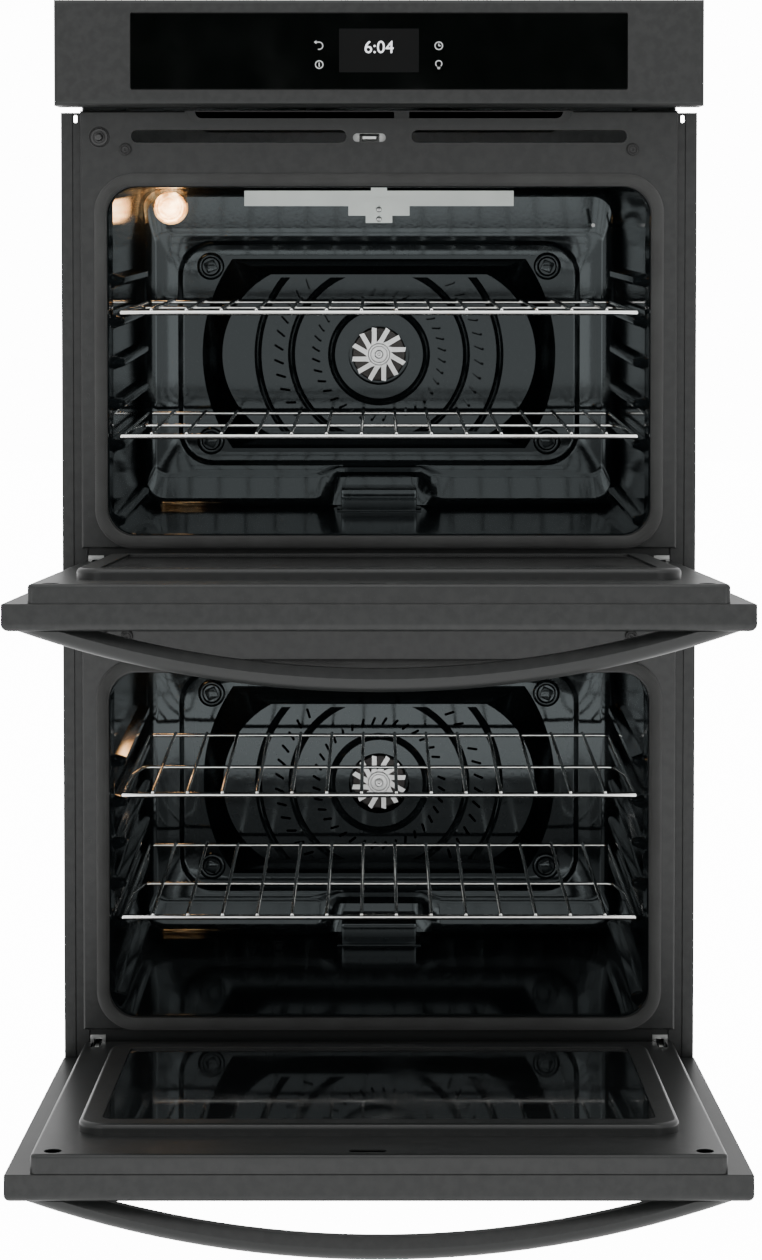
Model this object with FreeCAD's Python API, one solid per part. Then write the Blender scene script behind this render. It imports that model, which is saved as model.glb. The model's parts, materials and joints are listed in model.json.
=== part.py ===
"""Built-in double electric wall oven, 30 inch class, both drop-down doors open.

Frame: X to the right, Y into the wall, Z up, millimetres.  The origin is the middle of the
underside, on the plane of the cabinet face that the side trims lie against.
"""
import math
import os

import FreeCAD, Part

V = FreeCAD.Vector
X, Y, Z = V(1, 0, 0), V(0, 1, 0), V(0, 0, 1)

# ---- overall sizes; the rest of this block is worked out from them
WIDTH = 762.0
HEIGHT = 1318.0
DEPTH = 600.0                # chassis behind the cabinet face
PANEL_TALL = 124.0           # control panel
PANEL_BASE = HEIGHT - PANEL_TALL
OVEN_PITCH = (PANEL_BASE - 30) / 2          # from the lower oven to the upper one
SHEET = 1.2                  # casing sheet
ENAMEL = 1.5                 # cavity sheet
FIT = 0.3                    # clearance between pieces that slide or swing past each other
SEAT = 0.2                   # gap left between pieces that are screwed together
RUNNING = 0.08               # radial clearance of a shaft or pin that turns in its hole

# ---- widths, from the outside in
TRIM_OUTER = WIDTH / 2 - 1
TRIM_STRIP = 14.0            # raised outer strip of each side trim
TRIM_PROUD = 3.0
FRONT_HALF = TRIM_OUTER - 24                # half the width of the enamelled front frames
BODY_HALF = FRONT_HALF - 1                  # half the width of the chassis, which enters the cut-out
TRIM_INNER = BODY_HALF - 5
TRIM_LAP = BODY_HALF + 1                    # the trim's back is relieved inside this, over the chassis
TRIM_SCREW_X = FRONT_HALF + 6.6
SCREW_SLOT = (4.4, 9.0)                     # width and height of a cabinet screw slot
SCREW_LOW = 14.0
APRON_HALF = BODY_HALF - 5.3
CAVITY_HALF = BODY_HALF - 35
MOUTH_HALF = CAVITY_HALF + 4
GASKET_WIDTH = 17.0
GASKET_PROUD = 5.7
HINGE_X = BODY_HALF - 15
CHANNEL_WIDTH = 18.0
LINER_HALF = BODY_HALF
SURROUND_HALF = MOUTH_HALF - 8              # the door's window surround enters the mouth
INNER_GLASS_HALF = SURROUND_HALF - 24
WINDOW_HALF = INNER_GLASS_HALF - 30

# ---- heights above the module datum of each oven
KICK_HEIGHT = 24.0
DOOR_BASE = KICK_HEIGHT + 7
DOOR_GAP = 19.0                             # between the shut doors
DOOR_HEIGHT = OVEN_PITCH - DOOR_GAP
CAVITY_FLOOR = 90.0
CAVITY_CEILING = OVEN_PITCH - 64
FRAME_BASE = CAVITY_FLOOR - 5               # where a frame's flat part starts
MOUTH_BASE = CAVITY_FLOOR + 11
MOUTH_TOP = CAVITY_CEILING
CAVITY_RADIUS = 26.0
MOUTH_RADIUS = 34.0
BUMPER_Z = OVEN_PITCH - 20
LATCH_Z = OVEN_PITCH - 6
SWITCH_Z = LATCH_Z + 0.5
VENT_Z = LATCH_Z + 1.5
VENT_TALL = 15.0
LOWER_FRAME_TOP = OVEN_PITCH + 10

# ---- heights above the underside
UPPER_FRAME_TOP = PANEL_BASE - 4
TRIM_TOP = PANEL_BASE - 6
OUTLET_BASE = UPPER_FRAME_TOP - 15
CHASSIS_TOP = HEIGHT - 18
CONTROL_BASE = PANEL_BASE + 18.4
CONTROL_TOP = HEIGHT - 15

# ---- depths
CAVITY_BACK = DEPTH - 140
FRAME_FACE = -14.0                          # front of the front frames
APRON_FACE = 2.0                            # recessed strip behind the swinging bottom of each door
LINER_FACE = FRAME_FACE - GASKET_PROUD - FIT
PIVOT_Y = LINER_FACE - 12
SKIN_BACK = LINER_FACE - 20
DOOR_FACE = SKIN_BACK - 28
PANEL_FACE = DOOR_FACE
FRAME_ROUND = 2.5
DOOR_ROUND = 8.0
PANEL_ROUND = 5.0
FOLD_ROUND = 1.0
LINER_ROUND = 4.0
WOOL = 27.0
COVER_HALF = 50.0            # box on each oven floor over the passage of the hidden element's ends
COVER_DEPTH = 88.0
COVER_TALL = 29.0

# ---- racks and their guides
RACK_STEP = (CAVITY_CEILING - CAVITY_FLOOR - 180) / 5
RACK_LEVELS = [37.0] + [128.4 + RACK_STEP * i for i in range(5)]    # above the cavity floor
RACKS_USED = {"bottom": 1, "top": 4}
RACK_HALF = CAVITY_HALF - 8.5
RACK_FRONT = 1.0
RACK_DEPTH = CAVITY_BACK - RACK_FRONT - 60  # clear of the fan baffle
RACK_RAIL = 3.25             # radius of the thick front rail
RACK_SIDE = 2.5              # radius of the side and cross rails
RACK_WIRE = 2.2
RACK_WIRES = 14
RACK_PITCH = (2 * RACK_HALF - 35) / RACK_WIRES
RACK_MID = 175.0
GUIDE_REACH = 13.7
GUIDE_HEIGHT = 7.0
GUIDE_START = RACK_FRONT + RACK_RAIL + 1.5
GUIDE_LENGTH = RACK_DEPTH - 12

# ---- convection system
FAN_HEIGHT = (CAVITY_FLOOR + CAVITY_CEILING) / 2 - 8.4
FAN_HOLE = 41.0
FAN_RADIUS = FAN_HOLE - 2.5
FAN_HUB = 15.0
FAN_BLADES = 12
SHAFT = 3.0
BAFFLE_HALF = CAVITY_HALF - 76
BAFFLE_HALF_HEIGHT = 0.312 * (CAVITY_CEILING - CAVITY_FLOOR)
BAFFLE_FACE = CAVITY_BACK - 26
BAFFLE_RADIUS = 42.0
FAN_FACE = BAFFLE_FACE + 7
PLATEAU_REACH = BAFFLE_HALF - 33
PLATEAU_CORNER = 0.69 * PLATEAU_REACH
PLATEAU_HALF_HEIGHT = BAFFLE_HALF_HEIGHT - 25.5
FOOT_REACH = BAFFLE_HALF - 4
FOOT_CORNER = BAFFLE_HALF - 44
FOOT_HALF_HEIGHT = BAFFLE_HALF_HEIGHT - 4.5
GROOVE_RADII = [FAN_HOLE + 23, 0.559 * PLATEAU_REACH, 0.773 * PLATEAU_REACH]
GROOVE_HALF = 4.8
GROOVE_DEPTH = 3.4
SLOT_RINGS = [(85.0, 36, 12.0), (135.0, 44, 14.0)]           # radius, count, slot length
SLOT_LEAN = 28.0             # degrees each slot leans from the radius
MOTOR_RADIUS = 36.0
MOTOR_FRONT = CAVITY_BACK + 9
MOTOR_LENGTH = 62.0

# ---- heating elements
BAKE_Z = CAVITY_FLOOR - ENAMEL - 7.5
BAKE_LEG = 30.0
BAKE_REACH = CAVITY_HALF - 35
BAKE_TUBE = 4.0
BROIL_Z = CAVITY_CEILING - 15
BROIL_TUBE = 3.5
BROIL_XS = [158.0, 114.0, 70.0, 26.0]       # runs on each side, from the outside in
BRACKET_Y = 140.0
BRACKET_HALF = 167.5
BROIL_NEAR = BRACKET_Y + 16
BROIL_FAR = CAVITY_BACK - 75
BRACKET_TOP = CAVITY_CEILING - 4
BRACKET_SCREWS = (23.0, 35.0)               # below the bracket's top
RING_RADIUS = PLATEAU_HALF_HEIGHT - 4
RING_TUBE = 3.2
RING_Y = CAVITY_BACK - 12
RING_LEG = 9.0

# ---- lamp and temperature probe
LAMP_X = 39 - CAVITY_HALF
LAMP_Z = CAVITY_CEILING - 24
LAMP_RADIUS = 21.5
LAMP_Y = CAVITY_BACK - 35
PROBE_X = CAVITY_HALF - 35
PROBE_Z = CAVITY_CEILING - 48

# ---- holes in each cavity's back wall: x, height, radius
WALL_HOLES = [(-BROIL_XS[-1], BROIL_Z, 6.0), (BROIL_XS[-1], BROIL_Z, 6.0),
              (-RING_LEG, FAN_HEIGHT - RING_RADIUS, 5.0), (RING_LEG, FAN_HEIGHT - RING_RADIUS, 5.0),
              (LAMP_X, LAMP_Z, 18.0), (PROBE_X, PROBE_Z, 5.0)]

# ---- doors, heights above the bottom edge of each door
PIVOT_RISE = 28.0
DOOR_OPEN = 85.5
SURROUND_BASE = MOUTH_BASE - DOOR_BASE + 3
SURROUND_TOP = MOUTH_TOP - DOOR_BASE - 7
SURROUND_PROUD = 12.0
INNER_GLASS_BASE = SURROUND_BASE + 24
INNER_GLASS_TOP = SURROUND_TOP - 23
WINDOW_BASE = INNER_GLASS_BASE + 15
WINDOW_TOP = INNER_GLASS_TOP - 25
GLASS = 4.0
POCKET = 9.0                 # radius of the round pockets in the liner, one over the plunger

# ---- handles
HANDLE_STANDOFF = 62.0
HANDLE_REACH = WIDTH / 2 - 13.2             # where the bar runs into the door
HANDLE_RADIUS = (HANDLE_REACH ** 2 + HANDLE_STANDOFF ** 2) / (2 * HANDLE_STANDOFF)      # bar's outer face
HANDLE_THICK = 24.0
HANDLE_TALL = 30.0
HANDLE_BELOW_TOP = 20.0
HANDLE_CROWN = 14.0

# ---- hinges
HINGE_PLATE = 5.0
HINGE_PIN = 4.0
ARM_HALF = HINGE_PIN + 2
RECEIVER_TALL = 32.0
RECEIVER_DEPTH = 46.0

# ---- door switch, latch, bumpers, vents
SWITCH_X = 22 - BODY_HALF
PLUNGER = 4.0
PLUNGER_TRAVEL = 6.3
LATCH_X = -11.5
LATCH_HALF = 19.5
LATCH_TALL = 10.0
BUMPER_X = CAVITY_HALF - 18
BUMPER_RADIUS = 7.2
BUMPER_PROUD = 4.5
VENT_INNER = 39.0
VENT_OUTER = CAVITY_HALF - 25

# ---- control panel and cooling
CONTROL_HALF = WIDTH / 2 - 89.5
OUTLET_HALF = 231.0
OUTLET_RIM = 12.0            # sunk rim round the air outlet's mouth
OUTLET_SUNK = 1.4
BLOWER_Y = DEPTH - 240
BLOWER_BASE = UPPER_FRAME_TOP + 12
BLOWER_TALL = 56.0
BLOWER_RADIUS = 96.0
WHEEL_RADIUS = 70.0
WHEEL_BLADES = 24
EYE_RADIUS = 0.8 * WHEEL_RADIUS             # hole between the blower and the duct under it
GLAND_RADIUS = 14.0
GLAND_BORE = 11.0
GLAND_X = -250.0
GLAND_Z = CHASSIS_TOP - 60

MODULES = {"lower": 0.0, "upper": OVEN_PITCH}


def box(x0, x1, y0, y1, z0, z1):
    return Part.makeBox(x1 - x0, y1 - y0, z1 - z0, V(x0, y0, z0))


def rod(start, axis, length, radius):
    return Part.makeCylinder(radius, length, start, axis)


def union(shapes):
    shapes = list(shapes)
    return shapes[0].multiFuse(shapes[1:]).removeSplitter() if len(shapes) > 1 else shapes[0]


def mirrored(shape):
    return shape.mirror(V(0, 0, 0), X)


def both(shape):
    return [shape, mirrored(shape)]


def moved(shape, x=0.0, y=0.0, z=0.0):
    return shape.translated(V(x, y, z))


def slab(x0, x1, z0, z1, radius, y0, y1):
    """A rounded rectangle seen from the front, from y0 back to y1."""
    body = box(x0, x1, y0, y1, z0, z1)
    upright = [e for e in body.Edges if abs(e.tangentAt(e.FirstParameter).y) > 0.99]
    return body.makeFillet(radius, upright)


def edges_at(shape, y):
    """Edges that lie in the plane at that depth."""
    return [e for e in shape.Edges
            if abs(e.CenterOfMass.y - y) < 0.01 and all(abs(v.Y - y) < 0.01 for v in e.Vertexes)]


def tray(x0, x1, z0, z1, front, back, sheet, radius, corner=0.0):
    """A pressed pan open at the back: its face at front, its four walls reaching to back."""
    if corner:
        outer = slab(x0, x1, z0, z1, corner, front, back)
        inner = slab(x0 + sheet, x1 - sheet, z0 + sheet, z1 - sheet, corner - sheet, front + sheet, back + 1)
    else:
        outer = box(x0, x1, front, back, z0, z1)
        inner = box(x0 + sheet, x1 - sheet, front + sheet, back + 1, z0 + sheet, z1 - sheet)
    outer = outer.makeFillet(radius, edges_at(outer, front))
    inner = inner.makeFillet(radius - sheet, edges_at(inner, front + sheet))
    return outer.cut(inner)


def ring(outer, inner):
    return outer.cut(inner)


def tube(points, radius, bend):
    """A round tube along straight runs that are joined by tangent arcs."""
    points = [V(*p) for p in points]
    edges = []
    start = points[0]
    for before, corner, after in zip(points, points[1:], points[2:]):
        back = (before - corner).normalize()
        ahead = (after - corner).normalize()
        half = back.getAngle(ahead) / 2
        reach = bend / math.tan(half)
        first = corner + back * reach
        last = corner + ahead * reach
        inward = (back + ahead).normalize()
        middle = corner + inward * (bend / math.sin(half) - bend)
        edges.append(Part.makeLine(start, first))
        edges.append(Part.Arc(first, middle, last).toShape())
        start = last
    edges.append(Part.makeLine(start, points[-1]))
    section = Part.Wire([Part.makeCircle(radius, points[0], points[1] - points[0])])
    return Part.Wire(edges).makePipeShell([section], True, False)


def save(name, shape):
    if isinstance(shape, list):
        shape = shape[0] if len(shape) == 1 else Part.makeCompound(shape)
    shape.exportStep("parts/%s.step" % name)


def per_oven(make):
    """One copy of a piece, or of a list of pieces, for each oven."""
    made = make()
    made = made if isinstance(made, list) else [made]
    return [moved(s, z=rise) for rise in MODULES.values() for s in made]


# ---------------------------------------------------------------- chassis
def side_panels():
    panel = box(BODY_HALF - SHEET, BODY_HALF, 0, DEPTH - SHEET - SEAT, 0, CHASSIS_TOP)
    flange = box(BODY_HALF - 16, BODY_HALF, DEPTH - 2 * SHEET - SEAT, DEPTH - SHEET - SEAT,
                 0, CHASSIS_TOP - SHEET - SEAT)
    return both(union([panel, flange]))


def back_panel():
    panel = box(-BODY_HALF, BODY_HALF, DEPTH - SHEET, DEPTH, 0, CHASSIS_TOP)
    for rise in MODULES.values():
        for row in range(8):
            for side in (-1, 1):
                x = side * 230
                z = rise + 200 + row * 26
                panel = panel.cut(slab(x - 60, x + 60, z - 4, z + 4, 3.9, DEPTH - 5, DEPTH + 5))
    return panel.cut(rod(V(GLAND_X, DEPTH - 20, GLAND_Z), Y, 40, GLAND_RADIUS + FIT))


def base_pan():
    inner = BODY_HALF - SHEET - SEAT
    back = DEPTH - 2 * SHEET - 2 * SEAT
    pan = box(-inner, inner, 6, back, 0, SHEET)
    lip = box(-inner, inner, 6, 6 + SHEET, 0, 20)
    return union([pan, lip])


def top_panel():
    inner = BODY_HALF - SHEET - SEAT
    back = DEPTH - SHEET - SEAT
    panel = box(-inner, inner, 0, back, CHASSIS_TOP - SHEET, CHASSIS_TOP)
    lip = box(-inner, inner, 0, SHEET, CHASSIS_TOP - 30, CHASSIS_TOP)
    return union([panel, lip])


def mid_divider():
    inner = BODY_HALF - SHEET - SEAT
    back = DEPTH - 2 * SHEET - 2 * SEAT
    level = LOWER_FRAME_TOP + 8
    shelf = box(-inner, inner, 8, back, level, level + SHEET)
    lip = box(-inner, inner, 8, 8 + SHEET, level, level + 16)
    return union([shelf, lip])


def vent_slots(rise):
    z0 = rise + VENT_Z - VENT_TALL / 2
    slot = slab(VENT_INNER, VENT_OUTER, z0, z0 + VENT_TALL, VENT_TALL / 2 - 0.1, FRAME_FACE - 5, FRAME_FACE + 5)
    return both(slot)


def mouth(rise, grow, y0, y1):
    return slab(-MOUTH_HALF - grow, MOUTH_HALF + grow, rise + MOUTH_BASE - grow, rise + MOUTH_TOP + grow,
                MOUTH_RADIUS + grow, y0, y1)


def front_frame(rise, base, top):
    """Pressed front sheet: flat face, side returns, ledge and the recessed apron under it."""
    flat = rise + FRAME_BASE
    return_end = -SHEET - SEAT
    face = tray(-FRONT_HALF, FRONT_HALF, flat, top, FRAME_FACE, return_end, SHEET, FRAME_ROUND)
    ledges = [box(-APRON_HALF, APRON_HALF, return_end - SHEET, APRON_FACE + SHEET, z, z + SHEET)
              for z in (flat, top - SHEET)]
    apron = box(-APRON_HALF, APRON_HALF, APRON_FACE, APRON_FACE + SHEET, base, flat + SHEET)
    sheet = union([face, apron] + ledges)
    sheet = sheet.cut(mouth(rise, 0, FRAME_FACE - 5, FRAME_FACE + 5))
    for slot in vent_slots(rise):
        sheet = sheet.cut(slot)
    latch_z = rise + LATCH_Z - LATCH_TALL / 2
    sheet = sheet.cut(slab(LATCH_X - LATCH_HALF, LATCH_X + LATCH_HALF, latch_z, latch_z + LATCH_TALL,
                           LATCH_TALL / 2 - 0.1, FRAME_FACE - 5, FRAME_FACE + 5))
    sheet = sheet.cut(rod(V(SWITCH_X, FRAME_FACE - 5, rise + SWITCH_Z), Y, 10, PLUNGER + 3))
    hinge_z = rise + DOOR_BASE + PIVOT_RISE
    slot_half = CHANNEL_WIDTH / 2 - 1.5
    for hole in both(box(HINGE_X - slot_half, HINGE_X + slot_half, APRON_FACE - 1, APRON_FACE + 5,
                         hinge_z - RECEIVER_TALL / 2 + 2, min(hinge_z + RECEIVER_TALL / 2 - 2, flat))):
        sheet = sheet.cut(hole)
    return sheet


def front_frame_upper():
    sheet = front_frame(OVEN_PITCH, LOWER_FRAME_TOP + SEAT, UPPER_FRAME_TOP)
    front = FRAME_FACE - 5
    above = UPPER_FRAME_TOP + 20
    sunk = FRAME_FACE + OUTLET_SUNK
    top = box(-OUTLET_HALF, OUTLET_HALF, front, APRON_FACE + 5, UPPER_FRAME_TOP - SHEET, above)
    pocket = slab(-OUTLET_HALF, OUTLET_HALF, OUTLET_BASE, above, 14, FRAME_FACE, sunk + SHEET)
    sheet = union([sheet.cut(top), pocket.common(box(-OUTLET_HALF, OUTLET_HALF, front, 0, 0, UPPER_FRAME_TOP))])
    half = OUTLET_HALF - SHEET
    sheet = sheet.cut(slab(-half, half, OUTLET_BASE + SHEET, above, 14 - SHEET, front, sunk))
    half = OUTLET_HALF - OUTLET_RIM
    return sheet.cut(slab(-half, half, OUTLET_BASE + OUTLET_RIM / 2, above, 8, front, APRON_FACE + 5))


def side_trims():
    plate = box(TRIM_INNER, TRIM_LAP, -SHEET, -FIT, 0, TRIM_TOP)
    flange = box(TRIM_LAP, TRIM_OUTER, -SHEET, 0, 0, TRIM_TOP)
    strip = box(TRIM_OUTER - TRIM_STRIP, TRIM_OUTER, -TRIM_PROUD, -SHEET, 0, TRIM_TOP)
    trim = union([plate, flange, strip])
    edges = [e for e in trim.Edges if abs(e.tangentAt(e.FirstParameter).z) > 0.99
             and abs(e.CenterOfMass.y + TRIM_PROUD) < 0.01]
    trim = trim.makeFillet(0.8, edges)
    wide, tall = SCREW_SLOT
    for z in (SCREW_LOW, TRIM_TOP - 7.5):
        trim = trim.cut(slab(TRIM_SCREW_X - wide / 2, TRIM_SCREW_X + wide / 2, z - tall / 2, z + tall / 2,
                             wide / 2 - 0.1, -5, 5))
    return both(trim)


def bottom_trim():
    face = box(-APRON_HALF, APRON_HALF, -2, -2 + SHEET, 0, KICK_HEIGHT)
    top = box(-APRON_HALF, APRON_HALF, -2, APRON_FACE - SEAT, KICK_HEIGHT - SHEET, KICK_HEIGHT)
    foot = box(-APRON_HALF, APRON_HALF, -2, 5.8, 0, SHEET)
    return union([face, top, foot])


# ---------------------------------------------------------------- cavities
def cavity(rise):
    floor = rise + CAVITY_FLOOR
    ceiling = rise + CAVITY_CEILING
    front = FRAME_FACE + SHEET + SEAT
    outer = slab(-CAVITY_HALF - ENAMEL, CAVITY_HALF + ENAMEL, floor - ENAMEL, ceiling + ENAMEL,
                 CAVITY_RADIUS + ENAMEL, front, CAVITY_BACK + ENAMEL)
    flange_half = MOUTH_HALF + 14
    flange = slab(-flange_half, flange_half, floor - 3, ceiling + 14, MOUTH_RADIUS, front, front + ENAMEL)
    hollow = slab(-CAVITY_HALF, CAVITY_HALF, floor, ceiling, CAVITY_RADIUS, front - 1, CAVITY_BACK)
    shell = union([outer, flange]).cut(hollow)
    guides = []
    for level in RACK_LEVELS:
        top = floor + level - RACK_SIDE - FIT
        guide = box(CAVITY_HALF - GUIDE_REACH, CAVITY_HALF + 0.5, GUIDE_START, GUIDE_START + GUIDE_LENGTH,
                    top - GUIDE_HEIGHT, top)
        nose = [e for e in guide.Edges if abs(e.CenterOfMass.x - CAVITY_HALF + GUIDE_REACH) < 0.01
                and abs(e.tangentAt(e.FirstParameter).y) > 0.99]
        guides += both(guide.makeFillet(GUIDE_HEIGHT / 2 - 0.3, nose))
    cover = box(-COVER_HALF, COVER_HALF, CAVITY_BACK - COVER_DEPTH, CAVITY_BACK + ENAMEL, floor - ENAMEL,
                floor + COVER_TALL)
    cover = cover.makeFillet(3, [e for e in cover.Edges if e.CenterOfMass.y < CAVITY_BACK - 10
                                 and e.CenterOfMass.z > floor])
    shell = union([shell, cover] + guides)
    fan = V(0, CAVITY_BACK - 1, rise + FAN_HEIGHT)
    shell = shell.cut(rod(fan, Y, 5, 12))
    for x, z, radius in WALL_HOLES:
        shell = shell.cut(rod(V(x, CAVITY_BACK - 2, rise + z), Y, 8, radius))
    return shell


def insulation():
    """Mineral wool wrap around one cavity, open at the front and round the parts behind."""
    floor = CAVITY_FLOOR - ENAMEL
    ceiling = CAVITY_CEILING + ENAMEL
    side = CAVITY_HALF + ENAMEL
    start = RECEIVER_DEPTH + 2
    back = CAVITY_BACK + ENAMEL
    outer = box(-side - WOOL, side + WOOL, start, back + 24, floor - 31, ceiling + WOOL)
    inner = slab(-side - SEAT, side + SEAT, floor - 15, ceiling + SEAT, CAVITY_RADIUS, start - 1, back + SEAT)
    wool = outer.cut(inner)
    for half, z, tall in ((60, BROIL_Z, 14), (BAKE_LEG + 8, BAKE_Z, 6), (20, FAN_HEIGHT - RING_RADIUS, 14)):
        wool = wool.cut(box(-half, half, back - 1, back + 30, z - tall, z + tall))
    bores = ((0, FAN_HEIGHT, MOTOR_RADIUS + 8), (LAMP_X, LAMP_Z, LAMP_RADIUS + 3), (PROBE_X, PROBE_Z, 9))
    for x, z, radius in bores:
        wool = wool.cut(rod(V(x, back - 1, z), Y, 30, radius))
    return wool


def gasket(rise):
    y0, y1 = FRAME_FACE - GASKET_PROUD, FRAME_FACE
    rope = ring(mouth(rise, GASKET_WIDTH - 1, y0, y1), mouth(rise, 0.4, y0 - 1, y1 + 1))
    return rope.makeFillet(GASKET_PROUD * 0.45, edges_at(rope, y0))


def across(points):
    """The same run of points on the other side, in reverse, so that the two join."""
    return [(-x, y, z) for x, y, z in reversed(points)]


def broil_element():
    z = BROIL_Z
    outside, third, second, leg = [-x for x in BROIL_XS]
    front, near, far = BROIL_NEAR, BROIL_NEAR + 44, BROIL_FAR
    left = [(leg, CAVITY_BACK + 40, z), (leg, near, z), (second, near, z), (second, far, z),
            (third, far, z), (third, near, z), (outside, near, z), (outside, front, z)]
    return tube(left + across(left), BROIL_TUBE, 16)


def broil_bracket():
    """Front hanger that carries the loops of the broil element under the ceiling."""
    y0 = BRACKET_Y
    rail = box(-BRACKET_HALF, BRACKET_HALF, y0, y0 + SHEET, BRACKET_TOP - 19, BRACKET_TOP)
    lip = box(-BRACKET_HALF, BRACKET_HALF, y0, y0 + 14, BRACKET_TOP - SHEET, BRACKET_TOP)
    plate = box(-38, 38, y0 - SHEET, y0, BRACKET_TOP - 31, BRACKET_TOP - 8)
    tab = box(-16.5, 16.5, y0 - SHEET, y0, BRACKET_TOP - 40, BRACKET_TOP - 31)
    tail = box(-10, 10, y0, y0 + 14, BRACKET_TOP, CAVITY_CEILING - SEAT)
    under = BROIL_Z - BROIL_TUBE - SEAT
    shelf = box(-BRACKET_HALF, BRACKET_HALF, y0, BROIL_NEAR + 8, under - SHEET, under)
    piece = union([rail, lip, plate, tab, tail, shelf])
    for below in BRACKET_SCREWS:
        piece = piece.cut(rod(V(0, y0 - 5, BRACKET_TOP - below), Y, 10, 2.2))
    return piece


def bake_element():
    z = BAKE_Z
    near, far = 70.0, CAVITY_BACK - 55
    outside = -BAKE_REACH
    left = [(-BAKE_LEG, CAVITY_BACK + 14, z), (-BAKE_LEG, far - 40, z), (-100, far - 40, z),
            (-100, near + 50, z), (outside + 55, near + 50, z), (outside + 55, far, z), (outside, far, z),
            (outside, near, z)]
    return tube(left + across(left), BAKE_TUBE, 20)


def ring_element():
    """Circular element round the fan, its two ends going back through the cavity wall."""
    loop = Part.makeTorus(RING_RADIUS, RING_TUBE, V(0, RING_Y, FAN_HEIGHT), Y)
    opening = box(-RING_LEG, RING_LEG, RING_Y - 10, RING_Y + 10, FAN_HEIGHT - RING_RADIUS - 10,
                  FAN_HEIGHT - RING_RADIUS + 10)
    legs = both(rod(V(RING_LEG, RING_Y - RING_TUBE, FAN_HEIGHT - RING_RADIUS + 0.3), Y, 52, RING_TUBE))
    return union([loop.cut(opening)] + legs)


def slot_cutters(y0, y1):
    """Air slots of the baffle, leaning outwards, kept to its flat middle band."""
    cutters = []
    for radius, count, length in SLOT_RINGS:
        for i in range(count):
            a = 2 * math.pi * (i + 0.5) / count
            z = radius * math.sin(a)
            if abs(z) > PLATEAU_HALF_HEIGHT - 10:
                continue
            slot = slab(-length / 2, length / 2, -1.7, 1.7, 1.6, y0, y1)
            slot.rotate(V(0, 0, 0), Y, SLOT_LEAN - math.degrees(a))
            cutters.append(moved(slot, x=radius * math.cos(a), z=FAN_HEIGHT + z))
    return cutters


def barrel_outline(reach, corner, half_height, y):
    """Level above and below, bowed at the ends: out to reach in the middle and to corner at the ends."""
    right = [V(corner, y, half_height), V(reach, y, 0), V(corner, y, -half_height)]
    left = [V(-p.x, p.y, -p.z) for p in right]
    return Part.Wire([Part.Arc(*right).toShape(), Part.makeLine(right[2], left[0]),
                      Part.Arc(*left).toShape(), Part.makeLine(left[2], right[0])])


def skirt_block(inset, front, back):
    """Solid under the baffle's plateau and skirt, drawn in all round by the inset."""
    top = barrel_outline(PLATEAU_REACH - inset, PLATEAU_CORNER - inset, PLATEAU_HALF_HEIGHT - inset, front)
    foot = barrel_outline(FOOT_REACH - inset, FOOT_CORNER - inset, FOOT_HALF_HEIGHT - inset, back)
    return Part.makeLoft([top, foot], True, True)


def grooves(half_width, depth):
    """V-shaped rings that stiffen the plateau, cut off with its flat band."""
    band = box(-PLATEAU_REACH, PLATEAU_REACH, BAFFLE_FACE - 10, BAFFLE_FACE + 10,
               -PLATEAU_HALF_HEIGHT + 4, PLATEAU_HALF_HEIGHT - 4)
    start = V(0, BAFFLE_FACE - 1, 0)
    wide = half_width * (depth + 1) / depth
    rings = []
    for radius in GROOVE_RADII:
        ring = Part.makeCone(radius + wide, radius, depth + 1, start, Y)
        ring = ring.cut(Part.makeCone(radius - wide, radius, depth + 1, start, Y))
        rings.append(ring.common(band))
    return rings


def fan_baffle():
    """Pressed cover: flange on the cavity wall, sloped skirt, grooved plateau with the fan's inlet."""
    x, h = BAFFLE_HALF, BAFFLE_HALF_HEIGHT
    back = CAVITY_BACK - SEAT
    flange = slab(-x, x, -h, h, BAFFLE_RADIUS, back - SHEET, back)
    outer = skirt_block(0, BAFFLE_FACE, back - SHEET / 2)
    inner = skirt_block(SHEET, BAFFLE_FACE + SHEET, back + 1)
    rear = box(-x, x, BAFFLE_FACE + SHEET / 2, BAFFLE_FACE + 10, -h, h)
    behind = [groove.common(rear) for groove in grooves(GROOVE_HALF + SHEET, GROOVE_DEPTH + SHEET)]
    pressed = union([flange, outer]).cut(inner)
    pressed = union([pressed] + behind)
    for groove in grooves(GROOVE_HALF, GROOVE_DEPTH):
        pressed = pressed.cut(groove)
    pressed = pressed.cut(rod(V(0, BAFFLE_FACE - 5, 0), Y, 12, FAN_HOLE))
    pressed = moved(pressed, z=FAN_HEIGHT)
    return pressed.cut(Part.makeCompound(slot_cutters(BAFFLE_FACE - 5, BAFFLE_FACE + 5)))


def fan_wheel():
    """Hub with swept flat blades, each with a vane behind it, on its shaft."""
    hub = rod(V(0, FAN_FACE - 3, 0), Y, 9, FAN_HUB)
    shaft = rod(V(0, FAN_FACE, 0), Y, MOTOR_FRONT + 14 - FAN_FACE, SHAFT)
    pieces = [hub.makeFillet(1.5, edges_at(hub, FAN_FACE - 3)), shaft]
    length = FAN_RADIUS - FAN_HUB
    for i in range(FAN_BLADES):
        blade = box(FAN_HUB - 5, FAN_RADIUS - 1.2, FAN_FACE, FAN_FACE + SHEET, 3.2, 9.4)
        rib = box(FAN_HUB, FAN_HUB + length - 4, FAN_FACE - 0.8, FAN_FACE + 0.2, 5.2, 7.4)
        vane = box(FAN_HUB - 4, FAN_RADIUS - 1.2, FAN_FACE + 0.6, FAN_FACE + 12, 3.2, 4.4)
        for piece in (blade, rib, vane):
            piece.rotate(V(0, 0, 0), Y, i * 360 / FAN_BLADES + 4)
            pieces.append(piece)
    return moved(union(pieces), z=FAN_HEIGHT)


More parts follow.
